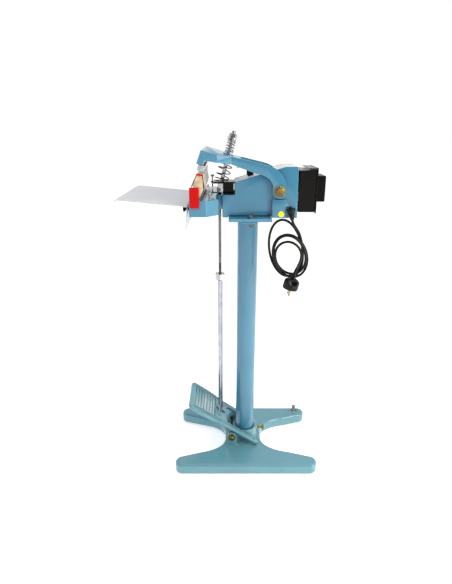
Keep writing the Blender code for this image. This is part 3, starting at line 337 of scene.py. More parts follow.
def make_finishes():
    # Painted light: the base and pedal take the column's blue lightened for their lit top faces
    enamel("painted_iron", tuple(c * k for c, k in zip(BLUE, LIT_IRON_TINT)), True)
    enamel("painted_steel", BLUE, False)
    enamel("painted_alu", tuple(c * k for c, k in zip(BLUE, ALU_TINT)), True)
    grey = finish("cover_grey", (0.80, 0.81, 0.81), 0.38)
    grey.colour(grey.mottle(30, 4, 0.3, 0.7, (0.74, 0.75, 0.76), (0.86, 0.87, 0.87)))
    grey.grain(1200, 0.06, 0.0004)
    powder = finish("black_paint", (0.0035, 0.003, 0.003), 0.14, Specular_IOR_Level=0.15)
    worn = powder.ramp(powder.edges(0.0012), 0, 1, 0, 0.5)
    powder.colour(powder.mix(worn, (0.005, 0.004, 0.004), (0.05, 0.05, 0.05)))
    powder.roughness(powder.noise(90, 4), 0.3, 0.7, 0.10, 0.20)
    powder.grain(1500, 0.18, 0.0004)
    white = finish("white_paint", (0.64, 0.66, 0.70), 0.30, Specular_IOR_Level=0.3)
    white.colour(white.mottle(9, 4, 0.3, 0.7, (0.61, 0.63, 0.67), (0.67, 0.69, 0.73)))
    white.grain(1100, 0.05, 0.0004)
    moulded("black_plastic", (0.004, 0.003, 0.003), 0.30, Specular_IOR_Level=0.12)
    moulded("rubber", (0.004, 0.0035, 0.004), 0.18, 500, Specular_IOR_Level=0.24)
    moulded("red_plastic", (0.56, 0.0, 0.0), 0.30, 700, Specular_IOR_Level=0.2)
    moulded("lamp_red", (0.62, 0.015, 0.01), 0.12, 300, Transmission_Weight=0.35)
    bright_metal("chrome", (0.58, 0.58, 0.60), 0.12)
    bright_metal("rod_chrome", (0.46, 0.47, 0.54), 0.10, (1, 1, 0.05), tint=(0.38, 0.39, 0.48))
    bright_metal("steel", (0.20, 0.20, 0.22), 0.22, (1, 1, 0.2))
    bright_metal("yellow_zinc", (0.52, 0.37, 0.10), 0.20, tint=(0.20, 0.17, 0.07))
    bright_metal("spring_steel", (0.07, 0.07, 0.08), 0.28)
    bright_metal("aluminium", (0.86, 0.87, 0.88), 0.28, (8, 0.1, 8))
    board = finish("insulator", (0.70, 0.58, 0.42), 0.50)
    board.colour(board.mottle(120, 4, 0.3, 0.7, (0.55, 0.40, 0.24), (0.74, 0.62, 0.46), stretch=(1, 0.15, 1)))
    board.grain(300, 0.10, 0.0006, 3, (1, 0.1, 1))
    silicone = finish("silicone", (0.84, 0.84, 0.82), 0.45, Subsurface_Weight=0.1)
    silicone.colour(silicone.mottle(80, 3, 0.3, 0.7, (0.80, 0.79, 0.76), (0.87, 0.87, 0.86)))
    silicone.grain(600, 0.05, 0.0004)
    cloth = finish("ptfe", (0.70, 0.63, 0.53), 0.42, Coat_Weight=0.2, Coat_Roughness=0.3)
    weave = woven(cloth, 0.0009)
    tone = cloth.mottle(22, 4, 0.35, 0.65, (0.60, 0.52, 0.42), (0.78, 0.72, 0.63))
    cloth.colour(cloth.mix(cloth.ramp(weave, 0, 1, 0, 0.25), tone, (0.46, 0.38, 0.29)))
    cloth.bump(weave, 0.35, 0.0003)
    dot = finish("yellow_label", (0.98, 0.86, 0.0), 0.45)
    dot.colour(dot.mix(dot.ramp(dot.noise(260, 3), 0.55, 0.75, 0, 0.5), (0.98, 0.87, 0.0), (0.85, 0.70, 0.01)))
    dot.grain(500, 0.05, 0.0003)
    bright_metal("pin_brass", (0.42, 0.36, 0.24), 0.22)


def woven(made, pitch):
    """A plain weave across the sheet, as a height from 0 to 1."""
    split = made.node("ShaderNodeSeparateXYZ")
    made.join(made.place, split.inputs["Vector"])
    waves = []
    for axis in ("Y", "Z"):
        turn = made.node("ShaderNodeMath", operation="MULTIPLY")
        turn.inputs[1].default_value = 2 * pi / pitch
        made.join(split.outputs[axis], turn.inputs[0])
        wave = made.node("ShaderNodeMath", operation="SINE")
        made.join(turn.outputs[0], wave.inputs[0])
        waves.append(wave.outputs[0])
    product = made.node("ShaderNodeMath", operation="MULTIPLY")
    made.join(waves[0], product.inputs[0])
    made.join(waves[1], product.inputs[1])
    return made.ramp(product.outputs[0], -1, 1)


# ---------------------------------------------------------------- mesh helpers


def piece(obj, body, slot, *nodes, look=None):
    """Gives obj the finish of look, or else of its slot, hangs it on its body, and hides the CAD nodes it stands for.
    """
    obj.data.materials.clear()
    obj.data.materials.append(finishes[look or slot].material)
    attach(obj, body)
    if nodes:
        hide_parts(*nodes)
    return obj


def link(name, data):
    obj = bpy.data.objects.new(name, data)
    bpy.context.scene.collection.objects.link(obj)
    return obj


def object_of(name, bm):
    mesh = bpy.data.meshes.new(name)
    bmesh.ops.recalc_face_normals(bm, faces=bm.faces)
    bm.to_mesh(mesh)
    bm.free()
    return link(name, mesh)


def box(name, low, high):
    bm = bmesh.new()
    size = [b - a for a, b in zip(low, high)]
    middle = [(a + b) / 2 for a, b in zip(low, high)]
    bmesh.ops.create_cube(bm, size=1, matrix=Matrix.Translation(middle) @ Matrix.Diagonal((*size, 1)))
    return object_of(name, bm)


def side_box(name, side, xs, ys, zs):
    """A box on the near (-1) or far (1) side, where ys are distances from the middle plane."""
    low, high = across(side, *ys)
    return box(name, (xs[0], low, zs[0]), (xs[1], high, zs[1]))


def across(side, first, second):
    """Two places along Y on the near (-1) or far (1) side, the lower one first."""
    return sorted((side * first, side * second))


def prism(name, outline, low, high, plane="XZ"):
    """A flat outline given thickness, in plane XZ along Y or in plane XY along Z."""
    bm = bmesh.new()
    if plane == "XZ":
        points, push = [(x, low, z) for x, z in outline], (0, high - low, 0)
    else:
        points, push = [(x, y, low) for x, y in outline], (0, 0, high - low)
    face = bm.faces.new([bm.verts.new(p) for p in points])
    grown = bmesh.ops.extrude_face_region(bm, geom=[face])
    moved = [v for v in grown["geom"] if isinstance(v, bmesh.types.BMVert)]
    bmesh.ops.translate(bm, verts=moved, vec=push)
    return object_of(name, bm)


def circle(origin, way, radius, height, steps):
    """Points round way, that far out and along from origin, or one point when radius is 0."""
    rotation = Vector(way).to_track_quat("Z", "Y").to_matrix()
    angles = [2 * pi * i / steps for i in range(steps if radius else 1)]
    return [Vector(origin) + rotation @ Vector((radius * cos(a), radius * sin(a), height)) for a in angles]


def turned(name, profile, origin, way, steps=48):
    """A turned solid: profile is (radius, height) along way from origin, closed on the axis at both ends."""
    bm = bmesh.new()
    rings = [[bm.verts.new(at) for at in circle(origin, way, r, h, steps)] for r, h in profile]
    for first, second in zip(rings, rings[1:]):
        for i in range(steps):
            j = (i + 1) % steps
            corners = [first[i % len(first)], first[j % len(first)], second[j % len(second)], second[i % len(second)]]
            unique = list(dict.fromkeys(corners))
            if len(unique) > 2:
                bm.faces.new(unique)
    if len(rings[0]) > 1 and len(rings[-1]) > 1:
        bm.faces.new(rings[0])
        bm.faces.new(list(reversed(rings[-1])))
    return smooth(object_of(name, bm))


def cylinder(radius, low, high, at, way, steps=24):
    """A plain cylinder that runs from low to high along way from at, to cut or join with."""
    return turned("cylinder", [(0, low), (radius, low), (radius, high), (0, high)], at, way, steps)


def smooth(obj, angle=32):
    obj.data.shade_smooth()
    obj.data.set_sharp_from_angle(angle=radians(angle))
    return obj


def applied(obj):
    """obj with its modifiers turned into its mesh."""
    graph = bpy.context.evaluated_depsgraph_get()
    mesh = bpy.data.meshes.new_from_object(obj.evaluated_get(graph))
    obj.modifiers.clear()
    obj.data = mesh
    return obj


def combine(obj, operation, helpers):
    """Joins the helpers to obj or cuts them out of it, and removes them."""
    for helper in helpers:
        step = obj.modifiers.new(operation.lower(), "BOOLEAN")
        step.operation = operation
        step.object = helper
        step.solver = "EXACT"
    applied(obj)
    for helper in helpers:
        bpy.data.objects.remove(helper)
    return obj


def soften(obj, width, segments=3, angle=28):
    """Rounds the edges and evens out the shading of the flat faces."""
    rounded = obj.modifiers.new("rounded", "BEVEL")
    rounded.width = width
    rounded.segments = segments
    rounded.limit_method = "ANGLE"
    rounded.angle_limit = radians(angle)
    rounded.harden_normals = False
    obj.data.shade_smooth()
    even = obj.modifiers.new("even", "WEIGHTED_NORMAL")
    even.keep_sharp = False
    even.weight = 100
    return applied(obj)


def wire(name, points, radius, sides=5):
    """A round wire along points, as a curve with closed ends."""
    curve = bpy.data.curves.new(name, "CURVE")
    curve.dimensions = "3D"
    curve.bevel_depth = radius
    curve.bevel_resolution = sides
    curve.use_fill_caps = True
    spline = curve.splines.new("POLY")
    spline.points.add(len(points) - 1)
    for point, at in zip(spline.points, points):
        point.co = (*at, 1)
    return link(name, curve)


def arc(centre, radius, first, last, steps=16):
    angles = [radians(first + (last - first) * i / steps) for i in range(steps + 1)]
    return [(centre[0] + radius * cos(a), centre[1] + radius * sin(a)) for a in angles]


def bend(start, control, end, steps=16):
    """Points on a smooth bend between two points, pulled towards a control point."""
    points = []
    for i in range(steps + 1):
        t = i / steps
        parts = zip(start, control, end)
        points.append(tuple((1 - t) ** 2 * a + 2 * t * (1 - t) * b + t * t * c for a, b, c in parts))
    return points


def cubic(start, first, second, end, steps):
    """Points on a cubic bend, without its first point."""
    points = []
    for i in range(1, steps + 1):
        t = i / steps
        points.append(
            Vector(start) * (1 - t) ** 3 + Vector(first) * 3 * t * (1 - t) ** 2
            + Vector(second) * 3 * t * t * (1 - t) + Vector(end) * t**3
        )
    return points


def thread(radius, low, high, pitch=0.00125, depth=0.0007):
    """The zigzag of a screw thread, as profile points from low to high."""
    count = max(1, int((high - low) / pitch))
    step = (high - low) / count
    points = []
    for i in range(count):
        points.append((radius - depth, low + step * i))
        points.append((radius, low + step * (i + 0.35)))
        points.append((radius, low + step * (i + 0.65)))
    points.append((radius - depth, high))
    return points


def hexagon(name, at, way, radius, low, high, bore=0.0, turn=0.0):
    """A hexagon nut or head with the turned chamfer of a real one; bore leaves a hole through it."""
    flat = radius * cos(pi / 6)
    rim = (high - low) * 0.16
    rotation = (Vector(way).to_track_quat("Z", "Y").to_matrix() @ Matrix.Rotation(turn, 3, "Z")).to_4x4()
    bm = bmesh.new()
    bmesh.ops.create_cone(
        bm, cap_ends=True, segments=6, radius1=radius, radius2=radius, depth=high - low,
        matrix=Matrix.Translation(Vector(at) + Vector(way).normalized() * (low + high) / 2) @ rotation,
    )
    body = object_of(name, bm)
    face = flat * 0.97
    profile = [(0, low), (face, low), (radius, low + rim), (radius, high - rim), (face, high), (0, high)]
    combine(body, "INTERSECT", [turned("chamfer", profile, at, way, 48)])
    if bore:
        combine(body, "DIFFERENCE", [cylinder(bore, low - TOOL_REACH, high + TOOL_REACH, at, way, 32)])
    return smooth(body, 25)


def washer(name, at, way, radius, low, high, bore=0.0):
    """A flat washer with broken edges, solid when it has no bore."""
    edge = min(0.0003, (high - low) / 4)
    outer = [(radius - edge, high), (radius, high - edge), (radius, low + edge), (radius - edge, low)]
    profile = [(bore, high), *outer, (bore, low)]
    return smooth(ring(name, profile, at, way)) if bore else turned(name, profile, at, way)


def ring(name, profile, origin, way, steps=48):
    """A turned ring: profile is a closed loop of (radius, height)."""
    bm = bmesh.new()
    rings = [[bm.verts.new(at) for at in circle(origin, way, r, h, steps)] for r, h in profile]
    for first, second in zip(rings, rings[1:] + rings[:1]):
        for i in range(steps):
            j = (i + 1) % steps
            bm.faces.new((first[i], first[j], second[j], second[i]))
    return object_of(name, bm)


def joined(name, parts):
    """Several closed shells that touch, as one object."""
    bm = bmesh.new()
    for part in parts:
        part.data.transform(part.matrix_world)
        bm.from_mesh(part.data)
        bpy.data.objects.remove(part)
    mesh = bpy.data.meshes.new(name)
    bm.to_mesh(mesh)
    bm.free()
    obj = link(name, mesh)
    obj.data.shade_smooth()
    obj.data.set_sharp_from_angle(angle=radians(30))
    return obj


def bolt(name, under_head, way, radius, length, head, washer_size=None, nut=None, turn=0.0):
    """A hexagon bolt with a threaded shank: way runs along the shank from under the head."""
    way = Vector(way).normalized()
    thick = washer_size[1] if washer_size else 0.0
    parts = [hexagon("head", under_head, -way, head[0], thick, thick + head[1], turn=turn)]
    if washer_size:
        parts.append(washer("washer", under_head, -way, washer_size[0], 0, thick))
    profile = [(0, -0.001), (radius, -0.001), *thread(radius, length * 0.3, length - 0.0006), (0, length)]
    parts.append(turned("shank", profile, under_head, way, 24))
    if nut:
        parts.append(hexagon("nut", under_head, way, nut[0], nut[2], nut[2] + nut[1], turn=turn + 0.3))
    return joined(name, parts)


def coil(name, start, end, radius, wire_radius, turns, body, slot, node):
    """A compression spring with its end turns closed and flat."""
    first, last = Vector(start), Vector(end)
    rotation = (last - first).to_track_quat("Z", "Y").to_matrix()
    length = (last - first).length
    steps = 40
    total = int(turns * steps)
    points = []
    for i in range(total + 1):
        share = i / total
        rise = share - 0.06 * sin(2 * pi * share)
        angle = 2 * pi * i / steps
        points.append(first + rotation @ Vector((radius * cos(angle), radius * sin(angle), length * rise)))
    curve = wire(name, points, wire_radius)
    mesh = bpy.data.meshes.new_from_object(curve.evaluated_get(bpy.context.evaluated_depsgraph_get()))
    bpy.data.objects.remove(curve)
    mesh.shade_smooth()
    return piece(link(name, mesh), body, slot, node)


# ---------------------------------------------------------------- base and column

FOOT_TOP = 0.036
FOOT_LENGTH = 0.425
FOOT_OUTER_Y = 0.148
FOOT_TIP_RADIUS = 0.022
FOOT_ROUND = 0.0085
WAIST_FRONT_X = -0.062
WAIST_REAR_X = 0.051
COLLAR_RADIUS = 0.037
COLLAR_TOP = 0.074
COLLAR_FILLET = 0.007
COLLAR_EDGE = 0.003
CLAMP_Z = 0.062
COLUMN_WALL = 0.003


def foot_outline():
    """The H-shaped casting in plan, as one smooth outline."""
    tip_x = FOOT_LENGTH / 2 - FOOT_TIP_RADIUS
    tip_y = FOOT_OUTER_Y - FOOT_TIP_RADIUS

    def quarter(waist):
        inward = bend((tip_x - 0.055, 0.0855), (waist + 0.008, 0.070), (waist, 0.022), 20)
        return arc((tip_x, tip_y), FOOT_TIP_RADIUS, 90, -80) + inward

    rear, front = quarter(WAIST_REAR_X), quarter(-WAIST_FRONT_X)
    outline = rear + [(x, -y) for x, y in reversed(rear)]
    outline += [(-x, -y) for x, y in front]
    return outline + [(-x, y) for x, y in reversed(front)]


def make_base():
    base = prism("base_casting_fine", foot_outline(), 0.0, FOOT_TOP, "XY")
    soften(base, FOOT_ROUND, 7, 40)
    foot_x, skirt, rim = COLLAR_RADIUS + COLLAR_FILLET, FOOT_TOP + 0.0006, COLLAR_RADIUS - COLLAR_EDGE
    profile = [(0, 0.02), (foot_x, 0.02), (foot_x, skirt)]
    for a in [radians(10 * k) for k in range(1, 10)]:
        profile.append((foot_x - COLLAR_FILLET * sin(a), skirt + COLLAR_FILLET - COLLAR_FILLET * cos(a)))
    for a in [radians(15 * k) for k in range(7)]:
        profile.append((rim + COLLAR_EDGE * cos(a), COLLAR_TOP - COLLAR_EDGE + COLLAR_EDGE * sin(a)))
    collar = turned("collar", [*profile, (0, COLLAR_TOP)], (0, 0, 0), UP, 96)
    boss = turned("boss", [(0, 0.030), (0.009, 0.030), (0.009, 0.0395), (0.008, 0.0405), (0, 0.0405)],
                  (0, 0, CLAMP_Z), ALONG, 32)
    ears, pads, pockets = [], [], []
    for side in (-1, 1):
        ears.append(soften(prism("ear", ear_outline(), *across(side, 0.050, 0.057)), 0.0012, 3))
        pad_x = (PEDAL_PIVOT.x - 0.020, PEDAL_PIVOT.x + 0.020)
        pads.append(soften(side_box("pad", side, pad_x, (0.049, 0.060), (0.028, 0.0385)), 0.003, 4))
        for xs, ys, top in (((-0.183, 0.183), (0.112, 0.138), 0.027), ((-0.048, 0.038), (0.047, 0.102), 0.025)):
            pockets.append(soften(side_box("pocket", side, xs, ys, (-0.02, top)), 0.004, 2))
    combine(base, "UNION", [collar, boss, *ears, *pads])
    socket = cylinder(COLUMN_RADIUS + GAP, 0.012, 0.1, (0, 0, 0), UP, 96)
    thread_hole = cylinder(0.0044, 0.02, 0.06, (0, 0, CLAMP_Z), ALONG)
    bore = cylinder(PEDAL_BORE, -0.09, 0.09, (PEDAL_PIVOT.x, 0, PEDAL_PIVOT.z), FAR)
    stud_at = middle("foot_stud")
    stud_hole = cylinder(0.0034, 0.031, 0.06, (stud_at.x, stud_at.y, 0), UP)
    combine(base, "DIFFERENCE", [socket, thread_hole, bore, stud_hole, *pockets])
    smooth(base, 40)
    piece(base, "frame", "painted_iron", "base_casting")


def ear_outline():
    x, z = PEDAL_PIVOT.x, PEDAL_PIVOT.z
    return [(x - 0.0145, 0.02), (x + 0.0145, 0.02)] + arc((x, z), 0.0140, 0, 180, 24)


def make_column():
    low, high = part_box("column_tube")
    inner, edge = COLUMN_RADIUS - COLUMN_WALL, 0.0004
    profile = [(inner, low.z), (inner, high.z), (COLUMN_RADIUS - edge, high.z), (COLUMN_RADIUS, high.z - edge),
               (COLUMN_RADIUS, low.z)]
    column = smooth(ring("column_tube_fine", profile, (0, 0, 0), UP, 128))
    piece(column, "frame", "painted_steel", "column_tube")


def hex_piece(node, slot, out, radius, length, head, washer_size=None, nut=None, turn=0.0):
    """A bolt that stands for a CAD node and whose head points out, along X or up."""
    at = middle(node)
    axis = out.index(1)
    at[axis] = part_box(node)[1][axis] - head[1] - (washer_size[1] if washer_size else 0)
    made = bolt(f"{node}_fine", at, -Vector(out), radius, length, head, washer_size, nut, turn)
    piece(made, "frame", slot, node)


def make_fasteners():
    """Every hexagon fastener on the fixed frame, with chamfers, washers and threads."""
    hex_piece("collar_clamp_bolt", "yellow_zinc", ALONG, 0.0040, 0.0262, (0.0098, 0.0065), turn=0.2)
    hex_piece("foot_stud", "chrome", UP, 0.0030, 0.016, (0.0078, 0.0055), nut=(0.0078, 0.0055, 0.0062))
    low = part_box("pedal_pivot_bolt")[0]
    at = (PEDAL_PIVOT.x, low.y + 0.0075, PEDAL_PIVOT.z)
    head = hexagon("head", at, NEAR, 0.0098, 0.0015, 0.0075, turn=0.35)
    dome = turned("dome", [(0, 0.0072), (0.0052, 0.0074), (0.0042, 0.0084), (0, 0.0090)], at, NEAR, 32)
    flat = washer("flat", at, NEAR, 0.0110, 0, 0.0015)
    piece(joined("pedal_pivot_bolt_fine", [head, dome, flat]), "frame", "yellow_zinc", "pedal_pivot_bolt")
    # Painted shade: the shank and far nut take the dark spring_steel finish, not the head's yellow zinc, for the far
    # nut that sits in shadow behind the pedal
    profile = [(0, 0.0002), (0.0050, 0.0002), (0.0050, 0.112), *thread(0.0050, 0.1122, 0.1234), (0, 0.124)]
    shank = turned("shank", profile, at, FAR, 28)
    far_nut = hexagon("nut", at, FAR, 0.0098, 0.1154, 0.1214, 0.0053, 0.35)
    piece(joined("pedal_pivot_shank_painted_shade", [shank, far_nut]), "frame", "spring_steel")
    for where in ("near", "far"):
        hex_piece(f"bracket_bolt_{where}", "steel", UP, 0.0040, 0.026, (0.0082, 0.0055),
                  (0.0088, 0.0015), (0.0082, 0.0065, 0.0160), 0.25)
        hex_piece(f"terminal_post_{where}", "chrome", UP, 0.0025, 0.0300, (0.0055, 0.0040),
                  (0.0068, 0.0015), (0.0055, 0.004, 0.014))
    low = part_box("arm_pivot_bolt")[0]
    piece(bolt("arm_pivot_bolt_fine", (PIVOT.x, low.y + 0.0082, PIVOT.z), FAR, 0.0060, 0.1450,
               (0.0105, 0.0062), (0.0140, 0.0020), turn=0.15), "frame", "yellow_zinc", "arm_pivot_bolt")
    low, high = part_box("arm_pivot_nut")
    at = (PIVOT.x, low.y, PIVOT.z)
    nut = hexagon("nut", at, FAR, 0.0105, 0.0020, high.y - low.y, 0.0066)
    flat = washer("flat", at, FAR, 0.0140, 0, 0.0020, 0.0066)
    piece(joined("arm_pivot_nut_fine", [nut, flat]), "frame", "yellow_zinc", "arm_pivot_nut")


# ---------------------------------------------------------------- head

HEAD_HALF_Y = 0.055
HEAD_WALL = 0.006
HEAD_FRONT_X = -0.0698
HEAD_LEDGE_Z = 0.8139
HEAD_STEP_X = -0.0373
HEAD_REAR_X = 0.1240
HEAD_TOP_Z = 0.8841
HEAD_FLOOR_Z = 0.766
BRACKET_TOP = 0.7595
POST_FACE_Y = 0.0645
BEAM_BOLT_Y = 0.034
BEAM_BOLT_Z = 0.790
GLAND_AT = (CORD_EXIT.x - 0.004, 0, 0.778)


def head_outline():
    rest_z = BRACKET_TOP + GAP
    bracket_low, bracket_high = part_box("head_bracket")
    front, rear = bracket_low.x - 0.001, bracket_high.x + 0.001
    return [
        (HEAD_FRONT_X, 0.7555), (front, 0.7555), (front, rest_z), (rear, rest_z), (rear, 0.7545),
        (HEAD_REAR_X + 0.0022, 0.7540), (HEAD_REAR_X, HEAD_TOP_Z), (0.0924, HEAD_TOP_Z), (0.0703, 0.8773),
        (0.0450, 0.8700), (0.0243, 0.8638), (HEAD_STEP_X, 0.8458), (HEAD_STEP_X, HEAD_LEDGE_Z),
        (HEAD_FRONT_X, HEAD_LEDGE_Z),
    ]


def bore_tool(at, radius, reach=0.09):
    """A cutter across the whole width at a place of the frame."""
    return cylinder(radius, -reach, reach, (at.x, 0, at.z), FAR, 40)


def rod_slot():
    """The slot down through the head's front and the beam's neck, where the treadle rod hangs."""
    return box("slot", (-0.0950, -0.014, 0.70), (-0.0560, 0.014, 0.90))


def make_head():
    head = prism("head_casting_fine", head_outline(), -HEAD_HALF_Y, HEAD_HALF_Y)
    soften(head, 0.0016, 3, 12)
    posts = [soften(side_box("post", side, (0.0585, 0.0950), (0.0500, POST_FACE_Y), (0.7565, 0.8040)), 0.0022, 3)
             for side in (-1, 1)]
    combine(head, "UNION", posts)
    inner_y = HEAD_HALF_Y - HEAD_WALL
    room = box("room", (HEAD_FRONT_X + 0.007, -inner_y, HEAD_FLOOR_Z), (HEAD_REAR_X + 0.02, inner_y, 0.95))
    holes = [cylinder(0.0034, -0.03, 0.03, (-0.07, side * BEAM_BOLT_Y, BEAM_BOLT_Z), ALONG) for side in (-1, 1)]
    gland = cylinder(0.0060, 0.045, 0.07, GLAND_AT, NEAR, 32)
    combine(head, "DIFFERENCE", [room, rod_slot(), bore_tool(PIVOT, PIVOT_BORE), gland, *holes])
    piece(smooth(head, 30), "frame", "painted_alu", "head_casting")


BEAM_FRONT_X = -0.148
BEAM_REAR_X = -0.0785
BEAM_HALF_Y = 0.158
BEAM_BOTTOM = 0.775
BEAM_TOP = 0.8133
CHAMFER = 0.029


def make_beam():
    half = [(BEAM_FRONT_X, -BEAM_HALF_Y), (BEAM_REAR_X - CHAMFER, -BEAM_HALF_Y), (BEAM_REAR_X, CHAMFER - BEAM_HALF_Y)]
    beam = prism("jaw_beam_fine", half + [(x, -y) for x, y in reversed(half)], BEAM_BOTTOM, BEAM_TOP, "XY")
    soften(beam, 0.0014, 3)
    neck = soften(box("neck", (-0.0850, -0.050, BEAM_BOTTOM + 0.002), (HEAD_FRONT_X - GAP, 0.050, BEAM_TOP - 0.002)),
                  0.0010, 2)
    combine(beam, "UNION", [neck])
    under = soften(box("under", (-0.1420, -0.126, 0.70), (-0.0900, 0.126, BEAM_TOP - 0.012)), 0.003, 3)
    holes = []
    for side in (-1, 1):
        for x, y, radius in ((-0.080, BEAM_BOLT_Y, 0.0034), (-0.145, TABLE_SCREW_Y, 0.0030)):
            holes.append(cylinder(radius, -0.025, 0.025, (x, side * y, BEAM_BOLT_Z), ALONG))
    combine(beam, "DIFFERENCE", [under, rod_slot(), *holes])
    piece(smooth(beam, 30), "frame", "painted_alu", "jaw_beam")


# ---------------------------------------------------------------- lower jaw and table

JAW_TILT = radians(12)
JAW_TOP = (-0.1215, 0.8735)
STRIP_HALF_Y = 0.1405
TABLE_TILT = radians(5.5)
TABLE_REAR = (-0.1520, 0.7990)
TABLE_DEPTH = 0.175
TABLE_FLANGE = 0.060
TABLE_LIP = 0.007
TABLE_SHEET = 0.0015
TABLE_HALF_Y = 0.151
TABLE_SCREW_Y = 0.120
CLOTH_THICKNESS = 0.0003
# The end caps end this far short of their CAD solids' rear face
CAP_SHORTER = 0.0040


def lean(over, up):
    """A point in the lower jaw's tilted section, from the middle of its sealing line."""
    s, c = sin(JAW_TILT), cos(JAW_TILT)
    return (JAW_TOP[0] + over * c + up * s, JAW_TOP[1] - over * s + up * c)


def make_cloth():
    """The cloth over the element: a thin sheet over the crown and down both flanks."""
    line = [(-0.0165, -0.0400), (-0.0150, -0.0280), (-0.0105, -0.0110)]
    line += bend((-0.0080, -0.0020), (-0.0074, 0.0000), (-0.0050, 0.0000), 6)
    line += bend((0.0050, 0.0000), (0.0074, 0.0000), (0.0080, -0.0020), 6)
    line += [(0.0105, -0.0110), (0.0180, -0.0320), (0.0150, -0.0480)]
    fine = []
    for (a, b), (c, d) in zip(line, line[1:]):
        steps = max(1, round(hypot(c - a, d - b) / 0.003))
        fine += [(a + (c - a) * i / steps, b + (d - b) * i / steps) for i in range(steps)]
    fine.append(line[-1])
    columns = 96
    bm = bmesh.new()
    rows = []
    for k in range(columns + 1):
        y = STRIP_HALF_Y * (2 * k / columns - 1)
        row = []
        for i, (over, up) in enumerate(fine):
            share = min(1.0, abs(up) / 0.02)
            slack = 0.00030 * share * sin(y * 95 + up * 160) + 0.00018 * share * sin(y * 240 + i)
            x, z = lean(over + slack, up - CLOTH_THICKNESS)
            row.append(bm.verts.new((x, y, z)))
        rows.append(row)
    for first, second in zip(rows, rows[1:]):
        for i in range(len(fine) - 1):
            bm.faces.new((first[i], first[i + 1], second[i + 1], second[i]))
    cloth = object_of("ptfe_cloth_fine", bm)
    thick = cloth.modifiers.new("thickness", "SOLIDIFY")
    thick.thickness = CLOTH_THICKNESS
    applied(cloth)
    cloth.data.shade_smooth()
    piece(cloth, "frame", "ptfe", "ptfe_cloth")


def make_jaw_ends():
    for side, where in ((-1, "near"), (1, "far")):
        low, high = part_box(f"end_cap_{where}")
        cap = side_box(f"end_cap_{where}_fine", side, (low.x, high.x - CAP_SHORTER),
                       (BEAM_HALF_Y + GAP, BEAM_HALF_Y + 0.0050), (low.z, high.z))
        soften(cap, 0.0016, 4)
        lip = soften(side_box("lip", side, (-0.1455, -0.1400), (0.1540, BEAM_HALF_Y + 0.002),
                              (BEAM_TOP + 0.001, 0.8430)), 0.0008, 2)
        combine(cap, "UNION", [lip])
        piece(smooth(cap, 35), "frame", "red_plastic", f"end_cap_{where}")
        low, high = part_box(f"element_block_{where}")
        corners = ((-0.0078, -0.0026), (0.0078, -0.0026), (0.0078, 0.0008), (-0.0078, 0.0008))
        block = prism(f"element_block_{where}_fine", [lean(a, u) for a, u in corners], low.y, high.y)
        piece(soften(block, 0.0007, 3), "frame", "red_plastic", f"element_block_{where}")


def make_table():
    """The bent sheet with rounded bends and the two slots in its rear flange."""
    t = TABLE_SHEET
    radius = 0.0025
    section = [(0, -TABLE_FLANGE), (-t, -TABLE_FLANGE)]
    rear, front = (-t - radius, -t - radius), (-TABLE_DEPTH + t + radius, -t - radius)
    section += arc(rear, radius, 0, 90, 6) + arc(front, radius, 90, 180, 6)
    section += [(-TABLE_DEPTH + t, -TABLE_LIP), (-TABLE_DEPTH, -TABLE_LIP)]
    section += arc(front, radius + t, 180, 90, 6) + arc(rear, radius + t, 90, 0, 6)
    s, c = sin(TABLE_TILT), cos(TABLE_TILT)
    outline = [(TABLE_REAR[0] + x * c + z * s, TABLE_REAR[1] - x * s + z * c) for x, z in section]
    table = prism("work_table_fine", outline, -TABLE_HALF_Y, TABLE_HALF_Y)
    slots = []
    for y in (-TABLE_SCREW_Y, TABLE_SCREW_Y):
        slots.append(soften(box("slot", (-0.17, y - 0.0034, 0.7570), (-0.14, y + 0.0034, 0.7935)), 0.0033, 6))
    combine(table, "DIFFERENCE", slots)
    soften(table, 0.0004, 2, 50)
    piece(table, "table", "white_paint", "work_table")
    for where in ("near", "far"):
        node = f"table_screw_{where}"
        at = middle(node)
        at.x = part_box(node)[0].x
        grip = knurled("grip", at, ALONG, 0.0075, 0.0, 0.0058, 30)
        profile = [(0, 0.0050), (0.0042, 0.0052), (0.0042, 0.0085), (0.0066, 0.0087), (0.0070, 0.0091)]
        profile += [(0.0070, 0.0097), (0.0028, 0.0100), *thread(0.0028, 0.0102, 0.0260, 0.0008, 0.0004), (0, 0.0265)]
        shank = turned("shank", profile, at, ALONG, 24)
        piece(joined(f"{node}_fine", [grip, shank]), node, "black_plastic", node)


def knurled(name, origin, way, radius, low, high, ribs, depth=0.0006):
    """A knob's turned grip with straight ribs round its rim."""
    edge = 0.0008
    steps = ribs * 6
    rotation = Vector(way).to_track_quat("Z", "Y").to_matrix()
    rim = radius - edge * 1.6
    bm = bmesh.new()
    rings = []
    for r, h, share in ((rim, low, 0.3), (radius, low + edge, 1), (radius, high - edge, 1), (rim, high, 0.3)):
        rings.append([])
        for i in range(steps):
            angle = 2 * pi * i / steps
            out = r - depth * share * (0.5 + 0.5 * cos(ribs * angle))
            at = Vector(origin) + rotation @ Vector((out * cos(angle), out * sin(angle), h))
            rings[-1].append(bm.verts.new(at))
    for first, second in zip(rings, rings[1:]):
        for i in range(steps):
            j = (i + 1) % steps
            bm.faces.new((first[i], first[j], second[j], second[i]))
    bm.faces.new(rings[0])
    bm.faces.new(rings[-1])
    return smooth(object_of(name, bm), 40)


# ---------------------------------------------------------------- upper arm

ARM_OUTER_Y = 0.066
ARM_INNER_Y = 0.0562
ARM_END_RADIUS = 0.0185
FORK_GAP = 0.0046
# Heights along the pressure bolt, from the clevis pin
SPRING_SEAT = 0.0948
SPRING_TOP = 0.1330
BOLT_TIP = 0.153


def bolt_point(distance, offset=0.0):
    """A point on the pressure bolt's axis, that far above the clevis pin."""
    return Vector((PIN.x + offset, 0, PIN.z)) + BOLT_WAY * distance


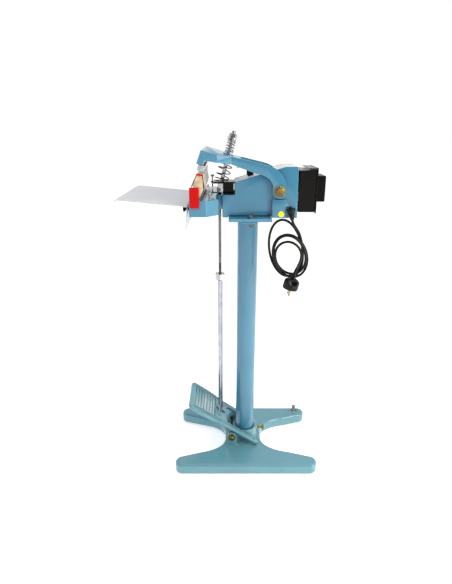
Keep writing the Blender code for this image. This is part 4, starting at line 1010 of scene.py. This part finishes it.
def arm_profile():
    outline = [(-0.1287, 0.8987), (-0.1179, 0.9282), (-0.0806, 0.9173), (-0.0453, 0.9093)]
    outline += bend((0.0443, 0.8878), (0.0900, 0.8770), (0.0958, 0.8300), 28)
    outline += arc((PIVOT.x, PIVOT.z), ARM_END_RADIUS, 0, -180, 30)
    outline += bend((0.0592, 0.8350), (0.0560, 0.8600), (0.0200, 0.8670), 24)
    return outline + [(0.0073, 0.8709), (-0.0452, 0.8900), (-0.0814, 0.9003), (-0.1106, 0.9051), (-0.1128, 0.8943)]


def make_arm():
    arm = prism("arm_casting_fine", arm_profile(), -BEAM_HALF_Y - 0.005, BEAM_HALF_Y + 0.005)
    half = [(-0.14, BEAM_HALF_Y), (-0.0806, BEAM_HALF_Y), (-0.0453, ARM_OUTER_Y), (0.12, ARM_OUTER_Y)]
    half += [(0.12, ARM_INNER_Y), (-0.019, ARM_INNER_Y)]
    half += [(-0.0262, ARM_INNER_Y - 0.003), (-0.028, ARM_INNER_Y - 0.009)]
    plan = prism("plan", half + [(x, -y) for x, y in reversed(half)], 0.78, 0.95, "XY")
    combine(arm, "INTERSECT", [plan])
    soften(arm, 0.0013, 3, 20)
    seat = turned("seat", [(0, 0.080), (0.0150, 0.080), (0.0150, 0.0935), (0.0140, 0.0945), (0, 0.0945)],
                  bolt_point(0), BOLT_WAY, 64)
    combine(arm, "UNION", [seat])
    bolt_hole = cylinder(0.0062, 0.03, 0.14, bolt_point(0), BOLT_WAY, 40)
    combine(arm, "DIFFERENCE", [bolt_hole, bore_tool(PIVOT, PIVOT_BORE)])
    piece(smooth(arm, 30), "arm", "painted_alu", "arm_casting")


def make_jaw_screws():
    """The two socket screws that hold the upper jaw bar."""
    way = Vector((cos(JAW_TILT), 0, -sin(JAW_TILT)))
    profile = [(0, -0.0018), (0.0042, -0.0018), (0.0042, 0.0010), (0.0036, 0.0018), (0.0020, 0.0018)]
    profile += [(0.0020, 0.0004), (0, 0.0004)]
    for where in ("near", "far"):
        screw = turned(f"jaw_screw_{where}_fine", profile, middle(f"jaw_screw_{where}"), way, 32)
        piece(screw, "arm", "spring_steel", f"jaw_screw_{where}")


def make_pressure_set():
    """The bolt with its forked clevis, the spring with its washer and nut, and the return spring below."""
    tip = BOLT_TIP
    top = bolt_point(0.016)
    outline = arc((PIN.x, PIN.z), 0.0080, 180 - BOLT_TILT, 360 - BOLT_TILT, 24)
    outline += [(top.x + 0.0078, top.z), (top.x - 0.0078, top.z)]
    cheeks = [prism("cheek", outline, *across(side, FORK_GAP, 0.0085)) for side in (-1, 1)]
    profile = [(0, 0.0105), (0.0082, 0.0105), (0.0085, 0.0110), (0.0085, 0.0190), (0.0078, 0.0200)]
    profile += [(0.0050, 0.0202), (0.0050, 0.075), *thread(0.0050, 0.076, tip - 0.001), (0.0036, tip), (0, tip)]
    body = turned("pressure_bolt_fine", profile, bolt_point(0), BOLT_WAY, 48)
    combine(body, "UNION", cheeks)
    slot = box("slot", (PIN.x - 0.02, -FORK_GAP, PIN.z - 0.02), (PIN.x + 0.02, FORK_GAP, PIN.z + 0.0095))
    combine(body, "DIFFERENCE", [slot, bore_tool(PIN, PIN_BORE, 0.02)])
    piece(smooth(body, 28), "pressure_bolt", "chrome", "pressure_bolt")
    top, end = SPRING_TOP, 0.0018
    spring = coil("pressure_spring_fine", bolt_point(SPRING_SEAT + end), bolt_point(top - end), 0.0105, 0.0015, 6.5,
                  "arm", "chrome", "pressure_spring")
    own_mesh(spring)
    flat = washer("spring_washer_fine", bolt_point(0), BOLT_WAY, 0.0135, top, top + 0.0020, 0.0054)
    piece(flat, "pressure_bolt", "chrome", "spring_washer")
    nut = hexagon("adjusting_nut_fine", bolt_point(0), BOLT_WAY, 0.0100, top + 0.0024, top + 0.0125, 0.0054)
    piece(nut, "adjusting_nut", "chrome", "adjusting_nut")
    spring = coil("return_spring_fine", bolt_point(0.0256, -0.001), bolt_point(0.0690), 0.0175, 0.0013, 3.5,
                  "frame", "spring_steel", "return_spring")
    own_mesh(spring)


# ---------------------------------------------------------------- treadle rod and pedal

PEDAL_TOE = (-0.170, 0.190)
PEDAL_REAR = (0.041, 0.045)
PEDAL_HALF_Y = 0.0730
PEDAL_ARM_Y = 0.0605
PEDAL_THICK = 0.009
FORK_INNER_Y = 0.0415
ROD_BORE = 0.0044


def eye_disc(at, radius, edge, steps):
    """The disc of an eye across the machine, before its bore is cut."""
    half = 0.0040
    rim = [(radius - edge, -half), (radius, edge - half), (radius, half - edge), (radius - edge, half)]
    return turned("eye", [(0, -half), *rim, (0, half)], at, FAR, steps)


def make_treadle():
    rod_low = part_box("treadle_rod")[0]
    nut_low, nut_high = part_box("rod_collar_nut")
    x = PIN.x
    thread_top = nut_high.z + 0.030
    profile = [(0, rod_low.z), (0.0040, rod_low.z), *thread(0.0040, nut_low.z - 0.002, thread_top, 0.00125, 0.0005)]
    profile += [(0.0040, thread_top + 0.0005), (0.0040, PIN.z - 0.006), (0, PIN.z - 0.003)]
    rod = turned("treadle_rod_fine", profile, (x, 0, 0), UP, 32)
    combine(rod, "UNION", [eye_disc(PIN, 0.0070, 0.0004, 40)])
    combine(rod, "DIFFERENCE", [bore_tool(PIN, PIN_BORE, 0.02)])
    piece(smooth(rod, 28), "treadle", "steel", "treadle_rod")
    nut = hexagon("rod_collar_nut_fine", (x, 0, 0), UP, 0.0152, nut_low.z, nut_high.z, ROD_BORE)
    piece(nut, "treadle", "chrome", "rod_collar_nut")
    top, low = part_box("treadle_tube")[1].z, 0.1380
    profile = [(0, low - 0.030), (0.0045, low - 0.030), (0.0045, low - 0.002), (0.0062, low), (0.0070, low + 0.002)]
    profile += [(0.0070, top - 0.0006), (0.0064, top), (0, top)]
    sleeve = turned("treadle_tube_fine", profile, (x, 0, 0), UP, 48)
    hook = Vector((x, 0, PEDAL_HOOK.z))
    combine(sleeve, "UNION", [eye_disc(hook, 0.0105, 0.0006, 48)])
    bore = cylinder(ROD_BORE, 0.530, 0.6, (x, 0, 0), UP, 32)
    combine(sleeve, "DIFFERENCE", [bore_tool(hook, 0.0062, 0.02), bore])
    piece(smooth(sleeve, 28), "treadle", "chrome", "treadle_tube", look="rod_chrome")


def pedal_length():
    return hypot(PEDAL_REAR[0] - PEDAL_TOE[0], PEDAL_TOE[1] - PEDAL_REAR[1])


def pedal_place():
    """From the pedal's plan (along from the toe, across, above its top face) to the frame."""
    angle = atan2(PEDAL_TOE[1] - PEDAL_REAR[1], PEDAL_REAR[0] - PEDAL_TOE[0])
    return Matrix.Translation((PEDAL_TOE[0], 0, PEDAL_TOE[1])) @ Matrix.Rotation(angle, 4, "Y")


def pedal_outline():
    end = pedal_length()
    corner = 0.016
    tip = (PEDAL_ARM_Y - FORK_INNER_Y) / 2
    half = arc((corner, PEDAL_HALF_Y - corner), corner, 180, 90, 14)
    half += bend((0.045, PEDAL_HALF_Y), (0.080, PEDAL_HALF_Y - 0.0015), (0.100, 0.0655), 10)
    half += bend((0.108, 0.0632), (0.125, PEDAL_ARM_Y), (0.150, PEDAL_ARM_Y), 8)
    half += arc((end - tip, PEDAL_ARM_Y - tip), tip, 90, -90, 20)
    half += [(0.165, FORK_INNER_Y)] + bend((0.150, FORK_INNER_Y), (0.136, FORK_INNER_Y), (0.132, 0.020), 12)
    return half + [(x, -y) for x, y in reversed(half)]


def make_pedal():
    pedal = prism("pedal_fine", pedal_outline(), -PEDAL_THICK, 0, "XY")
    soften(pedal, 0.0024, 4, 40)
    grooves = []
    for x in [0.0165 + 0.0105 * i for i in range(8)]:
        grooves.append(box("groove", (x, -0.0475, -0.0018), (x + 0.0022, 0.0475, TOOL_REACH)))
    for side in (-1, 1):
        for out in (0, 0.0048, 0.0096):
            pad_y, arm_y = (0.0490 + out, 0.0504 + out), (0.0455 + out, 0.0467 + out)
            grooves.append(side_box("groove", side, (0.0140, 0.118), pad_y, (-0.0016, TOOL_REACH)))
            grooves.append(side_box("groove", side, (0.130, 0.226), arm_y, (-0.0012, TOOL_REACH)))
    ring_mark = ring("ring_mark", [(0.0058, -0.002), (0.0058, 0.0010), (0.0078, 0.0010), (0.0078, -0.002)],
                     (0.109, -0.026, 0), UP, 40)
    combine(pedal, "UNION", [ring_mark])
    combine(pedal, "DIFFERENCE", grooves)
    slot = soften(box("slot", (0.095, -0.0085, -0.04), (0.129, 0.0085, 0.02)), 0.004, 4)
    holes = [cylinder(0.0030, -0.03, 0.02, (0.240, y, 0), UP) for y in (-0.0510, 0.0510)]
    combine(pedal, "DIFFERENCE", [slot, *holes])
    pedal.data.transform(pedal_place())
    combine(pedal, "UNION", pedal_lugs())
    clear = box("clear", (-0.0870, -0.0085, 0.085), (-0.0650, 0.0085, 0.117))
    combine(pedal, "DIFFERENCE", [clear, bore_tool(PEDAL_PIVOT, PEDAL_BORE), bore_tool(PEDAL_HOOK, 0.0039, 0.03)])
    piece(smooth(pedal, 32), "pedal", "painted_iron", "pedal")


def pedal_lugs():
    x, z = PEDAL_PIVOT.x, PEDAL_PIVOT.z
    hook_x, hook_z = PEDAL_HOOK.x, PEDAL_HOOK.z
    lugs = []
    for side in (-1, 1):
        outline = arc((x, z), 0.0110, 180, 340, 20) + [(x + 0.028, z + 0.007), (x - 0.008, z + 0.034)]
        lugs.append(soften(prism("lug", outline, *across(side, 0.0425, 0.0492)), 0.0008, 2))
        outline = arc((hook_x, hook_z), 0.0080, 160, 360, 20) + [(hook_x + 0.012, 0.112), (hook_x - 0.012, 0.130)]
        lugs.append(soften(prism("lug", outline, *across(side, 0.0095, 0.0150)), 0.0008, 2))
    return lugs


# ---------------------------------------------------------------- rear boxes and controls

KNOB_BACK_Y = 0.0525
LAMP_BACK_Y = 0.0520


def make_rear():
    low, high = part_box("control_box")
    case = soften(box("control_box_fine", low, high), 0.0016, 3)
    room = box("room", (low.x - TOOL_REACH, -0.050, low.z + 0.002), (high.x + TOOL_REACH, 0.050, high.z - 0.002))
    knob_at, lamp_at = middle("timer_knob"), middle("pilot_lamp")
    holes = [cylinder(radius, 0.03, 0.07, (at.x, 0, at.z), FAR, 32)
             for at, radius in ((knob_at, 0.0040), (lamp_at, 0.0045))]
    switch_hole = box("hole", (0.1430, 0.04, 0.7845), (0.1570, 0.06, 0.8075))
    combine(case, "DIFFERENCE", [room, *holes, switch_hole])
    piece(smooth(case, 30), "frame", "black_paint", "control_box")
    low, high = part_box("timer_housing")
    housing = soften(box("timer_housing_fine", low, high), 0.0034, 5)
    room = box("room", (low.x - TOOL_REACH, -0.031, 0.796), (high.x - 0.003, 0.031, 0.857))
    combine(housing, "DIFFERENCE", [room])
    piece(smooth(housing, 30), "frame", "black_plastic", "timer_housing")
    x, z = knob_at.x, knob_at.z
    grip = knurled("grip", (x, KNOB_BACK_Y, z), FAR, 0.0110, 0.0, 0.0150, 24)
    cap = turned("cap", [(0, -0.0085), (0.0035, -0.0085), (0.0035, 0.0149), (0.0088, 0.0149), (0.0085, 0.0168),
                         (0.0070, 0.0175), (0, 0.0175)], (x, KNOB_BACK_Y, z), FAR, 48)
    mark = box("mark", (x - 0.0006, 0.0694, z + 0.0020), (x + 0.0006, 0.0703, z + 0.0080))
    piece(joined("timer_knob_fine", [grip, cap, mark]), "timer_knob", "black_plastic", "timer_knob")
    lens = [(0, -0.0060), (0.0040, -0.0060), (0.0040, 0.0005), (0.0055, 0.0005), (0.0055, 0.0015)]
    lens += [(0.0050 * cos(a), 0.0020 + 0.0038 * sin(a)) for a in [radians(12 * k) for k in range(8)]] + [(0, 0.0060)]
    lamp = turned("pilot_lamp_fine", lens, (lamp_at.x, LAMP_BACK_Y, lamp_at.z), FAR, 40)
    piece(lamp, "frame", "lamp_red", "pilot_lamp")


# ---------------------------------------------------------------- mains lead


def turn_point(angle, turns):
    """A point of the hanging coil: the turns' own ovals, blended from one to the next as the lead goes round."""
    whole = (90 - angle) / 360
    index = min(max(int(whole), 0), len(turns) - 2)
    share = min(max(whole - index, 0.0), 1.0)
    share = share * share * (3 - 2 * share)
    now = [a + (b - a) * share for a, b in zip(turns[index], turns[index + 1])]
    x, z, half_x, half_z, leaning, depth = now
    up = half_z * sin(radians(angle))
    tight = sqrt(max(half_x**2 - (leaning * half_z) ** 2, 1e-6))
    return Vector((x + tight * cos(radians(angle)) - leaning * up, depth, z + up))


def cord_route():
    """From the strain relief down into the turns, round them, and forward into the plug."""
    points = [CORD_EXIT.copy()]
    first = turn_point(CORD_START_ANGLE, TURNS)
    after = turn_point(CORD_START_ANGLE - 3, TURNS)
    onward = (after - first).normalized()
    points += cubic(CORD_EXIT, CORD_EXIT + CORD_START_WAY.normalized() * 0.014, first - onward * 0.014, first, 5)
    last_angle = 90 - 360 * (len(TURNS) - 1) + CORD_LAST_TURN
    count = round((CORD_START_ANGLE - last_angle) / 360 * TURN_STEPS)
    for i in range(1, count + 1):
        points.append(turn_point(CORD_START_ANGLE - (CORD_START_ANGLE - last_angle) * i / count, TURNS))
    neck = PLUG_NECK + PLUG_WAY * 0.0004
    onward = (turn_point(last_angle - 2, TURNS) - turn_point(last_angle, TURNS)).normalized()
    points += cubic(points[-1], points[-1] + onward * 0.032, neck + PLUG_WAY * 0.016, neck, 8)
    return points


def smooth_line(points, steps=4):
    """A Catmull-Rom line through points."""
    line = []
    padded = [points[0] * 2 - points[1], *points, points[-1] * 2 - points[-2]]
    for a, b, c, d in zip(padded, padded[1:], padded[2:], padded[3:]):
        for i in range(steps):
            t = i / steps
            second, third = 2 * a - 5 * b + 4 * c - d, 3 * b - a - 3 * c + d
            line.append(0.5 * (2 * b + (c - a) * t + second * t**2 + third * t**3))
    return line + [points[-1]]


def make_cord():
    line = smooth_line(cord_route())
    cord = wire("mains_lead", line, CORD_DIAMETER / 2, 6)
    cord.data.splines[0].use_smooth = True
    piece(cord, "frame", "rubber", "cord_coil", "cord_tail")
    plug = make_plug()
    relief = make_strain_relief()


def make_strain_relief():
    """The moulded gland: a barrel that tapers down to the lead, with rings round its thin end."""
    start = Vector((CORD_EXIT.x - 0.005, CORD_EXIT.y, 0.7805))
    way = CORD_EXIT - start
    length = way.length
    profile = [(0, -0.0012), (0.0088, -0.0012), (0.0106, 0.0), (0.0112, 0.0030), (0.0109, 0.0065)]
    for i in range(5):
        at = 0.0085 + i * 0.0034
        radius = 0.0105 - (at - 0.0065) * 0.26
        groove = radius - 0.0009
        profile += [(radius, at), (groove, at + 0.0006), (groove, at + 0.0016), (radius - 0.0004, at + 0.0022)]
    profile += [(0.0052, length - 0.0010), (0.0046, length - 0.0002), (0, length - 0.0002)]
    relief = turned("strain_relief_fine", profile, start, way, 48)
    combine(relief, "UNION", [cylinder(0.0055, 0.0492, 0.067, GLAND_AT, NEAR, 32)])
    return piece(smooth(relief, 35), "frame", "rubber", "strain_relief")


def make_plug():
    """A moulded two-pin plug: ribbed neck, domed shoulder with a thumb hollow, drum and two round pins."""
    dome = [(0.0205 * sin(a), -0.0265 + 0.0120 * cos(a)) for a in [radians(24 + 11 * k) for k in range(7)]]
    profile = [(0, 0.0), (0.0044, 0.0), (0.0047, -0.0010), (0.0041, -0.0022), (0.0041, -0.0030), (0.0052, -0.0036)]
    profile += [(0.0054, -0.0052), (0.0047, -0.0060), (0.0047, -0.0070), (0.0060, -0.0078), (0.0063, -0.0100)]
    profile += [(0.0070, -0.0135), *dome, (0.0205, -0.0430), (0.0200, -0.0448), (0.0190, -0.0455), (0.0165, -0.0455)]
    profile += [(0.0163, -0.0449), (0, -0.0449)]
    plug = turned("plug_body_fine", [(r, -h) for r, h in profile], PLUG_NECK, -PLUG_WAY, 72)
    side_way = PLUG_WAY.cross(Vector(FAR)).normalized()
    hollows = []
    for side in (-1, 1):
        bm = bmesh.new()
        place = Matrix.Translation(PLUG_NECK - PLUG_WAY * 0.0190 + Vector(FAR) * side * 0.0315)
        bmesh.ops.create_uvsphere(bm, u_segments=48, v_segments=24, radius=0.0200, matrix=place)
        hollows.append(object_of("hollow", bm))
        key_at = PLUG_NECK - PLUG_WAY * 0.0380 + side_way * side * 0.0212
        hollows.append(cylinder(0.0030, -0.010, 0.010, key_at, PLUG_WAY))
    combine(plug, "DIFFERENCE", hollows)
    smooth(plug, 35)
    piece(plug, "frame", "rubber", "plug_body")
    for side, where in ((-1, "near"), (1, "far")):
        at = PLUG_NECK - PLUG_WAY * 0.0446 + Vector(FAR) * side * PLUG_PIN_Y
        profile = [(0, 0.0), (0.0024, 0.0), (0.0024, 0.0170), (0.0021, 0.0182), (0.0013, 0.0190), (0, 0.0193)]
        pin = turned(f"plug_pin_{where}", profile, at, -PLUG_WAY, 28)
        piece(pin, "frame", "rubber", look="pin_brass")
    return plug


LABEL_X = 0.0832
LABEL_Z = 0.7662


def make_label():
    """A plain round yellow label on the head's near post."""
    profile = [(0, 0.00002), (0.0072, 0.00002), (0.0075, 0.00012), (0.0072, 0.00024), (0, 0.00024)]
    label = turned("yellow_label", profile, (LABEL_X, -POST_FACE_Y, LABEL_Z), NEAR, 64)
    label.data.materials.append(finishes["yellow_label"].material)
    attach(label, "frame")


# ---------------------------------------------------------------- the CAD nodes that stay as they are


def dress_nodes():
    """Each CAD node that still shows takes the finish of its own slot in the record."""
    for row in frame["record"]["subparts"]:
        obj = frame["nodes"][row["node"]]
        if obj.hide_render:
            continue
        obj.data.materials.clear()
        obj.data.materials.append(finishes[row["material_slot"]].material)


def main():
    make_finishes()
    add_camera()
    add_studio()
    make_cord()
    make_base()
    make_column()
    make_fasteners()
    make_head()
    make_beam()
    make_cloth()
    make_jaw_ends()
    make_table()
    make_arm()
    make_jaw_screws()
    make_pressure_set()
    make_treadle()
    make_pedal()
    make_rear()
    make_label()
    dress_nodes()


main()
